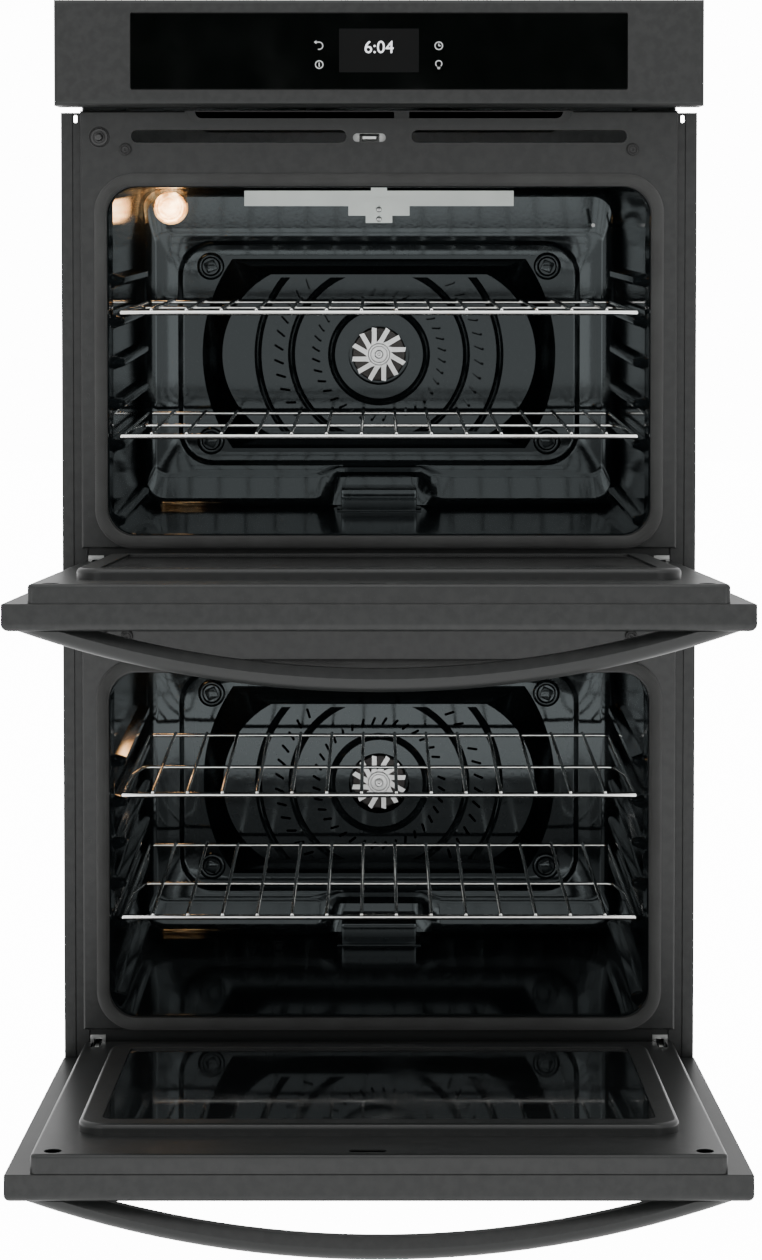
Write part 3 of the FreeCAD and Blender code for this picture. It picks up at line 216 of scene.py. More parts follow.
class Finish:
    """One material: its graph, its Principled shader and its placed groups."""

    def __init__(self, name, **constants):
        self.material = bpy.data.materials.new(name)
        self.material.use_nodes = True
        tree = self.material.node_tree
        self.graph = Graph(tree)
        self.shader = tree.nodes["Principled BSDF"]
        for key, value in constants.items():
            self.set(key.replace("_", " "), value)

    def set(self, socket, value):
        self.graph.feed(value, self.shader.inputs[socket])

    def place(self, group, **values):
        node = self.graph.add("ShaderNodeGroup", node_tree=GROUPS[group])
        for key, value in values.items():
            self.graph.feed(value, node.inputs[key.replace("_", " ")])
        return node.outputs

    def bump(self, height, distance, strength=1.0):
        inputs = {"Height": height, "Distance": distance, "Strength": strength}
        self.set("Normal", self.graph.add("ShaderNodeBump", inputs).outputs["Normal"])


def rgb(r, g, b):
    return (r, g, b, 1.0)


def coated(name, colour, worn, roughness, variation, ripple, fine=700.0, wear=0.35, flecks=None, **more):
    """Paint or enamel over steel: uneven gloss, faint ripple, rubbed edges and, for enamel, flecks."""
    f = Finish(name, **more)
    coat = f.place("coat", Roughness=roughness, Variation=variation, Fine_scale=fine)
    rubbed = f.place("wear", Amount=wear)["Mask"]
    ground = colour
    if flecks:
        ground = f.place("flecks", Ground=colour, Fleck=flecks[0], Amount=flecks[1])["Colour"]
    f.set("Base Color", f.graph.mix(rubbed, ground, worn))
    f.set("Roughness", coat["Roughness"])
    f.bump(coat["Height"], ripple)
    return f.material


def metal(name, colour, dull, roughness, depth, across, along, metallic=1.0, bump=0.00002):
    """Bare sheet or bar: grain along X, dull patches and a fine scratch relief."""
    f = Finish(name, Metallic=metallic)
    grain = f.place("brushed", Roughness=roughness, Depth=depth, Across=across, Along=along)
    dulled = f.place("patches", Scale=11.0)["Mask"]
    f.set("Base Color", f.graph.mix(dulled, colour, dull))
    f.set("Roughness", grain["Roughness"])
    f.bump(grain["Height"], bump)
    return f.material


def galvanised():
    """Zinc-coated sheet with its spangle."""
    f = Finish("galvanised", Metallic=1.0)
    cells = f.graph.add("ShaderNodeTexVoronoi", {"Scale": 95.0, "Randomness": 1.0})
    f.graph.feed(f.graph.add("ShaderNodeTexCoord").outputs["Object"], cells.inputs["Vector"])
    tone = f.graph.add("ShaderNodeSeparateColor", {"Color": cells.outputs["Color"]}).outputs[0]
    f.set("Base Color", f.graph.mix(tone, rgb(0.50, 0.52, 0.53), rgb(0.62, 0.64, 0.65)))
    f.set("Roughness", f.graph.spread(tone, 0.0, 1.0, 0.36, 0.5))
    f.bump(f.place("patches", Scale=400.0, Detail=2.0)["Grain"], 0.00002)
    return f.material


def glass_black(name, colour):
    """Black-backed glass with wipe marks."""
    f = Finish(name, IOR=1.5)
    dusty = f.place("patches", Scale=30.0, Detail=2.0)["Mask"]
    f.set("Base Color", f.graph.mix(dusty, colour, rgb(0.003, 0.004, 0.0035)))
    f.set("Roughness", f.place("smudges", Clean=0.03, Marked=0.09)["Roughness"])
    return f.material


def glass_window():
    """Grey heat-reflecting glass in front of the dark space inside the door."""
    f = Finish("window glass", IOR=1.5, Transmission_Weight=0.55)
    dusty = f.place("patches", Scale=18.0, Detail=2.0)["Mask"]
    f.set("Base Color", f.graph.mix(dusty, rgb(0.022, 0.025, 0.026), rgb(0.028, 0.031, 0.032)))
    f.set("Roughness", f.place("smudges", Clean=0.03, Marked=0.12)["Roughness"])
    return f.material


def chrome():
    f = Finish("chrome wire", Metallic=1.0)
    haze = f.place("patches", Scale=26.0, From=0.4, To=0.75)["Mask"]
    f.set("Base Color", f.graph.mix(haze, rgb(0.86, 0.87, 0.86), rgb(0.66, 0.64, 0.60)))
    f.set("Roughness", f.graph.spread(haze, 0.0, 1.0, 0.09, 0.22))
    f.bump(f.graph.noise(900.0, 2.0), 0.00002)
    return f.material


def braid():
    """Woven glass-fibre sleeve: two families of strands crossing, sooty in patches."""
    f = Finish("gasket braid", Sheen_Weight=0.25, Sheen_Roughness=0.6)
    place = f.graph.add("ShaderNodeTexCoord").outputs["Object"]
    strands = []
    for lean in (45.0, -45.0):
        turn = (0.0, math.radians(lean), 0.0)
        turned = f.graph.add("ShaderNodeMapping", {"Vector": place, "Rotation": turn}).outputs[0]
        inputs = {"Vector": turned, "Scale": 210.0, "Distortion": 1.2, "Detail": 2.0, "Detail Scale": 4.0}
        wave = f.graph.add("ShaderNodeTexWave", inputs)
        strands.append(wave.outputs["Fac"])
    woven = f.graph.math("MAXIMUM", *strands)
    soot = f.place("patches", Scale=22.0)["Mask"]
    clean = f.graph.mix(woven, rgb(0.036, 0.037, 0.036), rgb(0.066, 0.068, 0.066))
    f.set("Base Color", f.graph.mix(soot, clean, rgb(0.034, 0.034, 0.033)))
    f.set("Roughness", f.graph.spread(woven, 0.2, 1.0, 0.92, 0.7))
    f.bump(woven, 0.0004)
    return f.material


def soft(name, colour, dark, roughness, scale, relief, **more):
    """Matt rubber, plastic, ceramic or fibre with a mottled tone and a fine relief."""
    f = Finish(name, **more)
    grain = f.place("patches", Scale=scale, Detail=4.0)["Grain"]
    f.set("Base Color", f.graph.mix(grain, colour, dark))
    f.set("Roughness", f.graph.spread(grain, 0.2, 0.8, roughness - 0.07, roughness + 0.07))
    f.bump(grain, relief)
    return f.material


def lamp_glass():
    """Pressed lens glass over a burning bulb: white hot in the middle, amber towards the rim."""
    f = Finish("lit lamp glass", IOR=1.47, Transmission_Weight=0.2)
    swirl = f.graph.noise(75.0, 3.0)
    f.set("Base Color", f.graph.mix(swirl, rgb(0.95, 0.86, 0.70), rgb(0.80, 0.62, 0.40)))
    f.set("Roughness", f.graph.spread(swirl, 0.2, 0.8, 0.08, 0.2))
    rim = f.graph.add("ShaderNodeLayerWeight", {"Blend": 0.35}).outputs["Facing"]
    uneven = f.graph.spread(swirl, 0.35, 0.65, 0.45, 1.5)
    cool = f.graph.math("MULTIPLY", f.graph.math("ADD", rim, 0.35), uneven)
    towards_rim = f.graph.spread(cool, 0.2, 0.9)
    f.set("Emission Color", f.graph.mix(towards_rim, rgb(1.0, 0.72, 0.40), rgb(1.0, 0.36, 0.07)))
    f.set("Emission Strength", f.graph.spread(cool, 0.15, 0.9, 8.0, 1.1))
    return f.material


def printed(name, colour, glow, **more):
    """Screen-printed ink or a lit segment behind the control glass; a glow set on ink is a painted glow, not a
    lamp.
    """
    f = Finish(name, **more)
    grain = f.place("patches", Scale=900.0, Detail=2.0)["Grain"]
    shade = tuple(c * 0.82 for c in colour[:3]) + (1.0,)
    f.set("Base Color", f.graph.mix(grain, colour, shade))
    f.set("Roughness", f.graph.spread(grain, 0.2, 0.8, 0.3, 0.42))
    f.set("Emission Color", f.graph.mix(grain, colour, shade))
    f.set("Emission Strength", glow)
    return f.material


SKIN = coated("satin black paint", rgb(0.019, 0.0205, 0.020), rgb(0.05, 0.05, 0.05), 0.40, 0.04, 0.00003,
              fine=900.0, Specular_IOR_Level=0.34)
FRONT = coated("front enamel", rgb(0.020, 0.0215, 0.021), rgb(0.05, 0.05, 0.05), 0.34, 0.05, 0.00004,
               flecks=(rgb(0.13, 0.13, 0.13), 0.25), Specular_IOR_Level=0.36)
CAVITY = coated("cavity enamel", rgb(0.011, 0.014, 0.0155), rgb(0.03, 0.032, 0.034), 0.085, 0.04, 0.00003,
                fine=220.0, wear=0.2, flecks=(rgb(0.16, 0.18, 0.20), 0.25),
                Specular_Tint=rgb(0.88, 1.0, 1.03))
MATERIALS = {
    "galvanised": galvanised(),
    "front_enamel": FRONT,
    "cavity_enamel": CAVITY,
    "panel_paint": SKIN,
    "black_glass": glass_black("black glass", rgb(0.0015, 0.0025, 0.002)),
    "clear_glass": glass_window(),
    "chrome": chrome(),
    "aluminium": metal("satin aluminium", rgb(0.88, 0.89, 0.88), rgb(0.76, 0.77, 0.76),
                       0.36, 0.12, 900.0, 120.0),
    "gasket_braid": braid(),
    "rubber": soft("rubber", rgb(0.028, 0.028, 0.028), rgb(0.018, 0.018, 0.018), 0.7, 400.0, 0.0001),
    "mineral_wool": soft("mineral wool", rgb(0.62, 0.55, 0.34), rgb(0.42, 0.36, 0.20), 0.9, 160.0, 0.001),
    "element_sheath": metal("element sheath", rgb(0.09, 0.085, 0.08), rgb(0.05, 0.045, 0.045),
                            0.5, 0.15, 600.0, 60.0, metallic=0.7),
    "bracket_steel": metal("aluminised steel", rgb(0.50, 0.535, 0.51), rgb(0.42, 0.45, 0.43),
                           0.42, 0.10, 800.0, 60.0),
    "steel": metal("zinc-plated steel", rgb(0.60, 0.61, 0.60), rgb(0.46, 0.47, 0.46),
                   0.35, 0.12, 700.0, 60.0),
    "motor_steel": metal("motor shell", rgb(0.30, 0.30, 0.31), rgb(0.22, 0.22, 0.23), 0.4, 0.1, 600.0, 60.0),
    "porcelain": soft("porcelain", rgb(0.80, 0.78, 0.72), rgb(0.70, 0.67, 0.60), 0.55, 120.0, 0.0001),
    "lamp_glass": lamp_glass(),
    "circuit_board": soft("circuit board", rgb(0.02, 0.09, 0.04), rgb(0.012, 0.05, 0.025),
                          0.4, 300.0, 0.00005),
    "plastic": soft("moulded plastic", rgb(0.05, 0.05, 0.05), rgb(0.035, 0.035, 0.035), 0.5, 500.0, 0.00005),
}
LCD = printed("display face", rgb(0.012, 0.0125, 0.0125), 0.0, Specular_IOR_Level=0.05)
# The icon ink glows at strength 0.5: a painted glow, since the printed icons are not lit.
INK_WITH_PAINTED_GLOW = printed("panel ink with painted glow", rgb(0.75, 0.77, 0.77), 0.5)
DIGITS = printed("display digits", rgb(0.95, 0.97, 1.0), 1.6)

# ------------------------------------------------------------------ mesh helpers


def piece(name, verts, faces, material, body="cabinet", smooth=40.0):
    """A mesh object that rides on a body, shaded smooth up to the given angle."""
    mesh = bpy.data.meshes.new(name)
    mesh.from_pydata([tuple(v) for v in verts], [], faces)
    bm = bmesh.new()
    bm.from_mesh(mesh)
    bmesh.ops.recalc_face_normals(bm, faces=bm.faces)
    bm.to_mesh(mesh)
    bm.free()
    mesh.shade_smooth()
    mesh.set_sharp_from_angle(angle=math.radians(smooth))
    made = bpy.data.objects.new(name, mesh)
    bpy.context.scene.collection.objects.link(made)
    mesh.materials.append(material)
    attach(made, body)
    return made


class Parts:
    """Gathers vertices and faces of several shells into one mesh."""

    def __init__(self):
        self.verts, self.faces = [], []

    def shell(self, verts, faces):
        base = len(self.verts)
        self.verts += verts
        self.faces += [[i + base for i in f] for f in faces]

    def loft(self, rings, closed_ring=True, caps=False, closed_path=False):
        """Skins a list of rings that hold the same number of points."""
        count, size = len(rings), len(rings[0])
        faces = []
        for i in range(count if closed_path else count - 1):
            a, b = i * size, (i + 1) % count * size
            for j in range(size if closed_ring else size - 1):
                k = (j + 1) % size
                faces.append([a + j, a + k, b + k, b + j])
        if caps:
            faces.append(list(range(size))[::-1])
            faces.append([(count - 1) * size + j for j in range(size)])
        self.shell([p for r in rings for p in r], faces)

    def block(self, low, high, round_by=0.0004):
        """A box with its edges broken by small chamfers."""
        bm = bmesh.new()
        bmesh.ops.create_cube(bm, size=1.0)
        size = [b - a for a, b in zip(low, high)]
        middle = [(a + b) / 2 for a, b in zip(low, high)]
        for v in bm.verts:
            v.co = Vector([m + s * c for m, s, c in zip(middle, size, v.co)])
        bmesh.ops.bevel(bm, geom=bm.edges[:], offset=round_by, segments=2, affect="EDGES", profile=0.6)
        bm.verts.index_update()
        self.shell([v.co.copy() for v in bm.verts], [[v.index for v in f.verts] for f in bm.faces])
        bm.free()


def rounded_path(points, bend, steps=8):
    """Straight runs joined by round arcs of the given radius."""
    points = [Vector(p) for p in points]
    path = [points[0]]
    for before, corner, after in zip(points, points[1:], points[2:]):
        back, ahead = (before - corner).normalized(), (after - corner).normalized()
        half = back.angle(ahead) / 2
        reach = bend / math.tan(half)
        centre = corner + (back + ahead).normalized() * (bend / math.sin(half))
        first, last = corner + back * reach - centre, corner + ahead * reach - centre
        for i in range(steps + 1):
            path.append(centre + first.slerp(last, i / steps) * bend)
    return path + [points[-1]]


def tube_rings(path, radius, sides=14, closed=False):
    """Rings of a round tube along a path, carried without twist."""
    rings = []
    normal = None
    count = len(path)
    for i, point in enumerate(path):
        before = path[i - 1] if i or closed else path[0]
        after = path[(i + 1) % count] if i < count - 1 or closed else path[-1]
        along = (after - before).normalized()
        if normal is None:
            normal = along.orthogonal().normalized()
        normal = (normal - along * normal.dot(along)).normalized()
        other = along.cross(normal)
        rings.append([point + (normal * math.cos(a) + other * math.sin(a)) * radius
                      for a in (2 * math.pi * j / sides for j in range(sides))])
    return rings


def rod(parts, path, radius, sides=14, domed=False):
    """A round bar along a path; domed ones end in rounded tips."""
    rings = tube_rings(path, radius, sides)
    if domed:
        for end, inner in ((0, 1), (-1, -2)):
            centre = path[end]
            out = (path[end] - path[inner]).normalized()
            tips = [[centre + (p - centre) * math.cos(t) + out * radius * math.sin(t) for p in rings[end]]
                    for t in (0.35, 0.75, 1.15, 1.45)]
            rings = tips[::-1] + rings if end == 0 else rings + tips
    parts.loft(rings, caps=True)


def rounded_loop(half, low, high, radius, y, across=24, up=20, corner=8):
    """A rounded rectangle seen from the front, anticlockwise from the right side's foot, at depth y."""
    loop = []
    corners = [(half - radius, high - radius, 0.0), (-half + radius, high - radius, 90.0),
               (-half + radius, low + radius, 180.0), (half - radius, low + radius, 270.0)]
    for index, (cx, cz, start) in enumerate(corners):
        for i in range(corner + 1):
            a = math.radians(start + 90.0 * i / corner)
            loop.append(Vector((cx + radius * math.cos(a), y, cz + radius * math.sin(a))))
        steps = across if index % 2 == 0 else up
        nx, nz, turn = corners[(index + 1) % 4]
        a = math.radians(turn)
        last = loop[-1]
        target = Vector((nx + radius * math.cos(a), y, nz + radius * math.sin(a)))
        loop += [last.lerp(target, i / steps) for i in range(1, steps)]
    return loop


def lathe(parts, centre, profile, sides=48):
    """A turned shape about the front-to-back axis: radius and depth of each ring, from the middle out."""
    rings = []
    for radius, depth in profile:
        rings.append([centre + Vector((radius * math.cos(a), depth, radius * math.sin(a)))
                      for a in (2 * math.pi * j / sides for j in range(sides))])
    parts.loft(rings, caps=True)


def stadium(length, width, depth, turn, at, steps=7):
    """A slot outline lying along Z before it is turned about the Y axis and moved."""
    loop = []
    for end, first in ((1, 0.0), (-1, 180.0)):
        for i in range(steps + 1):
            a = math.radians(first + 180.0 * i / steps)
            x, z = width / 2 * math.cos(a), end * (length - width) / 2 + width / 2 * math.sin(a)
            loop.append(Vector((x * math.cos(turn) + z * math.sin(turn), depth,
                                z * math.cos(turn) - x * math.sin(turn))) + at)
    return loop


def smooth_step(value):
    value = min(max(value, 0.0), 1.0)
    return value * value * (3 - 2 * value)


# ------------------------------------------------------------------ cavities
GUIDE_TALL = 0.018
RACK_LEVELS = (0.037, 0.1284, 0.178, 0.2276, 0.2772, 0.3268)
COVER_HALF, COVER_DEPTH, COVER_TALL = 0.050, 0.088, 0.029


def cavity_edges(oven):
    """Half width, floor, ceiling, front and back of the cavity's inside."""
    low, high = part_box("cavity_" + oven)
    return 0.320, low.z + 0.003, high.z - 0.014, low.y, high.y - 0.0015


def guide_bulge(y, z, floor):
    """How far a side wall stands in at a place: pressed ridges that carry the racks."""
    run = smooth_step((y - 0.004) / 0.014) * smooth_step((0.396 - y) / 0.016)
    stand = 0.0
    for level in RACK_LEVELS:
        top = floor + level - 0.0028
        stand = max(stand, smooth_step((z - top + GUIDE_TALL) / 0.006) * smooth_step((top - z) / 0.005))
    return 0.0137 * run * stand


def cavity(oven):
    half, floor, ceiling, front, back = cavity_edges(oven)
    mouth_half, mouth_floor = 0.324, floor + 0.011
    rings = []
    # each entry: half width, bottom, top, corner radius and depth of one ring
    lip = [(0.3400, mouth_floor - 0.0095, ceiling + 0.0125, 0.046, front + 0.0012),
           (mouth_half + 0.0005, mouth_floor - 0.0005, ceiling + 0.0005, 0.0345, front + 0.0004),
           (mouth_half - 0.0012, mouth_floor + 0.0012, ceiling - 0.0012, 0.033, front + 0.0030),
           (mouth_half - 0.0012, mouth_floor + 0.0008, ceiling - 0.0012, 0.033, front + 0.0100),
           (half + 0.0008, floor + 0.0030, ceiling - 0.0006, 0.029, front + 0.0180)]
    tall = dict(across=40, up=168, corner=8)
    for h, lo, hi, r, y in lip:
        rings.append(rounded_loop(h, lo, hi, r, y, **tall))
    start, end = front + 0.026, back - 0.034
    steps = 74
    for i in range(steps + 1):
        y = start + (end - start) * i / steps
        ring = rounded_loop(half, floor, ceiling, 0.026, y, **tall)
        for p in ring:
            if abs(p.x) > half - 0.001:
                p.x -= math.copysign(guide_bulge(y, p.z, floor), p.x)
        rings.append(ring)
    step_in = back - 0.008
    arch = 0.033
    keys = [(half - 0.0015, floor + 0.002, ceiling - 0.002, 0.027, back - 0.024),
            (half - 0.006, floor + 0.010, ceiling - 0.008, 0.026, back - 0.0165),
            (half - 0.0066, floor + 0.0113, ceiling - 0.0101, 0.0256, back - 0.0161),
            (0.304, floor + 0.037, ceiling - 0.052, 0.018, step_in - 0.0012),
            (0.300, floor + 0.043, ceiling - 0.059, 0.018, step_in),
            (0.2725, floor + 0.0535, ceiling - 0.0685, 0.046, step_in),
            (0.2705, floor + 0.0555, ceiling - 0.0705, 0.045, step_in + 0.0012),
            (0.2670, floor + 0.0590, ceiling - 0.0740, 0.042, back - 0.0012),
            (0.2640, floor + 0.0620, ceiling - 0.0770, 0.040, back),
            (0.2400, floor + 0.0860, ceiling - 0.1010, 0.030, back)]
    for index, (h, lo, hi, r, y) in enumerate(keys):
        ring = rounded_loop(h, lo, hi, r, y, **tall)
        if index in (1, 2, 3, 4):
            for p in ring:
                near = smooth_step((0.074 - abs(p.x)) / 0.008)
                if p.z < floor + 0.06:
                    p.z += near * max(0.0, floor + arch + 0.006 * max(index - 1, 1) - p.z)
                    p.y += near * (back - 0.004 - p.y) * (index > 2)
        rings.append(ring)
    middle = Vector((0, back, (floor + ceiling) / 2))
    for share in (0.6, 0.33):
        rings.append([middle.lerp(p, share) for p in rings[-1]])
    parts = Parts()
    parts.loft(rings)
    last = len(parts.verts) - len(rings[-1])
    parts.verts.append(middle)
    size = len(rings[-1])
    parts.faces += [[last + j, last + (j + 1) % size, len(parts.verts) - 1] for j in range(size)]
    parts.block((-COVER_HALF, back - COVER_DEPTH, floor + 0.0002),
                (COVER_HALF, back - 0.002, floor + COVER_TALL), 0.003)
    parts.block((-COVER_HALF - 0.006, back - COVER_DEPTH - 0.006, floor + 0.0001),
                (COVER_HALF + 0.006, back - 0.002, floor + 0.0016), 0.0006)
    made = piece("cavity_liner_" + oven, parts.verts, parts.faces, CAVITY, smooth=50)
    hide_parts("cavity_" + oven)
    return made


# ------------------------------------------------------------------ gasket


def gasket(oven):
    """Braided rope seated round the mouth, flattened against the frame."""
    low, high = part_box("gasket_" + oven)
    seat, proud = high.y, low.y
    width = 0.0157
    half = high.x - width / 2 - 0.0002
    loop = rounded_loop(half, low.z + width / 2, high.z - width / 2, 0.040, seat,
                        across=420, up=280, corner=46)
    count, sides = len(loop), 18
    rings = []
    travelled = 0.0
    lay = 0.0092
    total = sum((loop[i] - loop[i - 1]).length for i in range(count))
    turns = round(total / lay)
    for i, p in enumerate(loop):
        along = (loop[(i + 1) % count] - loop[i - 1]).normalized()
        out = along.cross(Vector((0, 1, 0)))
        phase = 2 * math.pi * turns * travelled / total
        ring = []
        for j in range(sides):
            a = math.pi * 2 * j / sides
            over = math.sin(phase + 4 * a) * math.sin(phase - 4 * a)
            swell = 1.0 + 0.05 * over + 0.025 * math.cos(2 * phase)
            depth = max(math.sin(a), -0.55)
            rise = (depth + 0.55) / 1.55 * (seat - proud) * min(swell, 1.05) / 1.05
            ring.append(p + out * (math.cos(a) * width / 2 * swell / 1.08) + Vector((0, -rise, 0)))
        rings.append(ring)
        travelled += (loop[(i + 1) % count] - p).length
    parts = Parts()
    parts.loft(rings, closed_path=True)
    made = piece("braided_gasket_" + oven, parts.verts, parts.faces, MATERIALS["gasket_braid"],
                 smooth=60)
    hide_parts("gasket_" + oven)


# ------------------------------------------------------------------ racks


def rack(oven, place):
    node = "rack_%s_%s" % (oven, place)
    low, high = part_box(node)
    rail, side, wire, wires = 0.00325, 0.0025, 0.0022, 14
    level = low.z + rail
    front, back = low.y + wire + 0.0015, high.y - wire
    side_x = high.x - side
    top = level + side + wire - 0.0009
    parts = Parts()
    loop = [(side_x, front, level), (side_x, back, level), (-side_x, back, level), (-side_x, front, level)]
    rod(parts, rounded_path(loop, 0.010), side)
    rod(parts, [Vector((-side_x, front, level)), Vector((side_x, front, level))], rail, 18, True)
    middle = [(-side_x, front + 0.118, level), (-side_x + 0.012, front + 0.175, level),
              (side_x - 0.012, front + 0.175, level), (side_x, front + 0.118, level)]
    rod(parts, rounded_path(middle, 0.012), side - 0.0003)
    pitch = (2 * high.x - 0.035) / wires
    for i in range(wires):
        x = (i - (wires - 1) / 2) * pitch
        run = [(x, front - 0.0015, top), (x, back - 0.016, top), (x, back, top - 0.0012)]
        rod(parts, rounded_path(run, 0.03), wire, 14, True)
    made = piece("wire_" + node, parts.verts, parts.faces, MATERIALS["chrome"], node, smooth=60)
    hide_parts(node)


# ------------------------------------------------------------------ lamp lenses


def lamp_lens(oven, index):
    """Ribbed lens: a stepped dome with a fluted rim."""
    low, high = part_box("lamp_lenses")
    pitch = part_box("cavity_upper")[0].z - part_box("cavity_lower")[0].z
    radius, depth = (high.x - low.x) / 2, high.y - low.y
    centre = Vector(((low.x + high.x) / 2, high.y, low.z + radius + index * pitch))
    rings = []
    for i in range(31):
        t = max(i / 30, 0.02)
        step = 0.0007 * (1 + math.cos(i * math.pi / 3)) * t
        y = -depth * (0.4 + 0.6 * math.cos(t * math.pi / 2) ** 0.8) + step + 0.0001
        ring = []
        for j in range(96):
            a = 2 * math.pi * j / 96
            r = radius * math.sin(t * math.pi / 2) * (1.0 - 0.03 * t ** 3 * (1 + math.cos(24 * a)) / 2)
            ring.append(centre + Vector((r * math.cos(a), y, r * math.sin(a))))
        rings.append(ring)
    rings.append([Vector((p.x, high.y, p.z)) for p in rings[-1]])
    parts = Parts()
    parts.loft(rings, caps=True)
    made = piece("lamp_lens_" + oven, parts.verts, parts.faces, MATERIALS["lamp_glass"],
                 smooth=60)
    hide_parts("lamp_lenses")


# ------------------------------------------------------------------ fans


# turned profiles: radius and depth of each ring, from the middle out
HUB_PROFILE = [(0.0019, 0.004), (0.0019, -0.0022), (0.0024, -0.0027), (0.0046, -0.0029), (0.0060, -0.0020),
               (0.0105, -0.0018), (0.0116, -0.0026), (0.0138, -0.0026), (0.0147, -0.0016)]
BOSS_PROFILE = [(0.002, -0.0012), (0.0110, -0.0012), (0.0122, -0.0030), (0.0150, -0.0036), (0.0172, -0.0024),
                (0.0185, -0.0004)]
SCREW_PROFILE = [(0.0006, -0.0014), (0.0011, -0.0022), (0.0022, -0.0021), (0.0034, -0.0010), (0.0036, 0.0)]
PAD_PROFILE = [(0.0005, -0.0030), (0.0012, -0.0032), (0.0016, -0.0039), (0.0036, -0.0040), (0.0042, -0.0033),
               (0.0048, -0.0033), (0.0054, -0.0043), (0.0064, -0.0041)]
SWITCH_PROFILE = [(0.0043, 0.0058), (0.0043, -0.0012), (0.0048, -0.0016), (0.0060, -0.0016),
                  (0.0064, -0.0009), (0.0069, -0.0009), (0.0074, -0.0014), (0.0098, -0.0014),
                  (0.0104, -0.0006), (0.0104, 0.0004), (0.0114, 0.0004), (0.0114, -0.0008),
                  (0.0118, -0.0013), (0.0122, -0.0010)]


def fan(oven):
    """Stamped aluminium wheel: swept blades with pressed ribs, a dished hub and a dark backing disc."""
    node = "fan_wheel_" + oven
    low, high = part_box(node)
    radius = (high.x - low.x) / 2 - 0.0006
    centre = Vector((0, low.y + 0.003, (low.z + high.z) / 2))
    parts = Parts()
    lean = math.radians(30)
    hub, blades, sheet, root_radius = 0.0150, 12, 0.0011, 0.0128
    for i in range(blades):
        turn = 2 * math.pi * i / blades
        root = centre + Vector((math.sin(turn), 0, math.cos(turn))) * root_radius
        aim = turn + lean
        along = Vector((math.sin(aim), 0, math.cos(aim)))
        aside = Vector((math.cos(aim), 0, -math.sin(aim)))
        tip = root + along * (radius - 0.0118) - centre
        reach = (radius - 0.0118) * radius / tip.length * 0.985
        outline = [root - aside * 0.0044,
                   root - aside * 0.0032 + along * 0.007,
                   root - aside * 0.0031 + along * reach,
                   root + aside * 0.0031 + along * (reach * 0.955),
                   root + aside * 0.0032 + along * 0.007,
                   root + aside * 0.0044]
        back = [p + Vector((0, sheet, 0)) for p in outline]
        edge = [p + Vector((0, 0.0002, 0)) for p in outline]
        parts.loft([back, edge, outline], caps=True)
        at = root + along * (reach * 0.58)
        slots = [stadium(reach * 0.64 - 2 * g, 0.0034 - 2 * g, -d, aim, at)
                 for g, d in ((0.0, 0.0), (0.0001, 0.0013), (0.0006, 0.0013), (0.0008, -0.0001))]
        parts.loft(slots, caps=False)
        parts.loft([slots[-1], [at.lerp(p, 0.3) for p in slots[-1]]], caps=True)
    lathe(parts, centre, HUB_PROFILE + [(hub, 0.0), (hub, 0.002)], 64)
    wheel = piece("fan_blades_" + oven, parts.verts, parts.faces, MATERIALS["aluminium"], "fan_" + oven,
                  smooth=30)
    disc = Parts()
    lathe(disc, centre, [(0.004, 0.0045), (0.020, 0.0046), (radius * 0.93, 0.0050), (radius * 0.955, 0.0042),
                         (radius * 0.975, 0.0050), (radius * 0.975, 0.0118), (0.003, 0.0118),
                         (0.003, high.y - centre.y)], 72)
    plate = piece("fan_disc_" + oven, disc.verts, disc.faces, MATERIALS["element_sheath"], "fan_" + oven,
                  smooth=30)
    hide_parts(node)
    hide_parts(node)


# ------------------------------------------------------------------ fixings, switches and bumpers


def turned_square(parts, centre, half, front, back, turn, round_by=0.0012):
    """A square head with rounded edges, turned about the front-to-back axis."""
    start = len(parts.verts)
    parts.block((-half, front, -half), (half, back, half), round_by)
    spin = Matrix.Rotation(turn, 3, "Y")
    for i in range(start, len(parts.verts)):
        parts.verts[i] = spin @ parts.verts[i] + centre


def clips(oven, rise):
    """Corner clips of the fan cover, each on a pressed boss, and the two screws of the hanger."""
    low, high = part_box("fan_baffle_" + oven)
    screws, bosses = Parts(), Parts()
    for side in (-1, 1):
        for level in (-1, 1):
            at = Vector((side * (high.x - 0.016), high.y - 0.001, (low.z + high.z) / 2 + level * 0.1185))
            lathe(bosses, at, BOSS_PROFILE, 40)
            turned_square(bosses, at, 0.0074, -0.0082, -0.0010, math.radians(24 * side * level), 0.0018)
    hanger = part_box("broil_brackets")
    face, top = hanger[0].y, hanger[1].z - (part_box("cavity_upper")[0].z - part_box("cavity_lower")[0].z - rise)
    for below in (0.023, 0.035):
        at = Vector((0, face, top - 0.004 - below))
        lathe(screws, at, SCREW_PROFILE, 24)
    boss = piece("clip_bosses_" + oven, bosses.verts, bosses.faces, CAVITY, smooth=45)
    made = piece("clip_screws_" + oven, screws.verts, screws.faces, MATERIALS["steel"],
                 smooth=45)
    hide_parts("cavity_screws")
    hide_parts("cavity_screws")


def bumpers(oven, rise):
    low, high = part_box("bumpers")
    radius = 0.0072
    pads = Parts()
    for side in (-1, 1):
        at = Vector((side * (high.x - radius), high.y, low.z + radius + rise))
        lathe(pads, at, PAD_PROFILE + [(radius, -0.0028), (radius, 0.0)])
    made = piece("bumper_pads_" + oven, pads.verts, pads.faces, MATERIALS["rubber"], smooth=45)
    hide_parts("bumpers")


def door_switch(oven, rise):
    low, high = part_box("switch_bodies")
    radius = (high.x - low.x) / 2
    flange = 0.0016
    at = Vector((low.x + radius, low.y + flange, low.z + radius + rise))
    parts = Parts()
    lathe(parts, at, SWITCH_PROFILE + [(radius, 0.0), (radius, 0.0002)], 64)
    parts.block((at.x - 0.011, at.y + 0.0016, at.z - 0.012), (at.x + 0.011, high.y, at.z + 0.012), 0.001)
    made = piece("door_switch_" + oven, parts.verts, parts.faces, MATERIALS["plastic"],
                 smooth=35)
    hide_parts("switch_bodies")


# ------------------------------------------------------------------ numerals


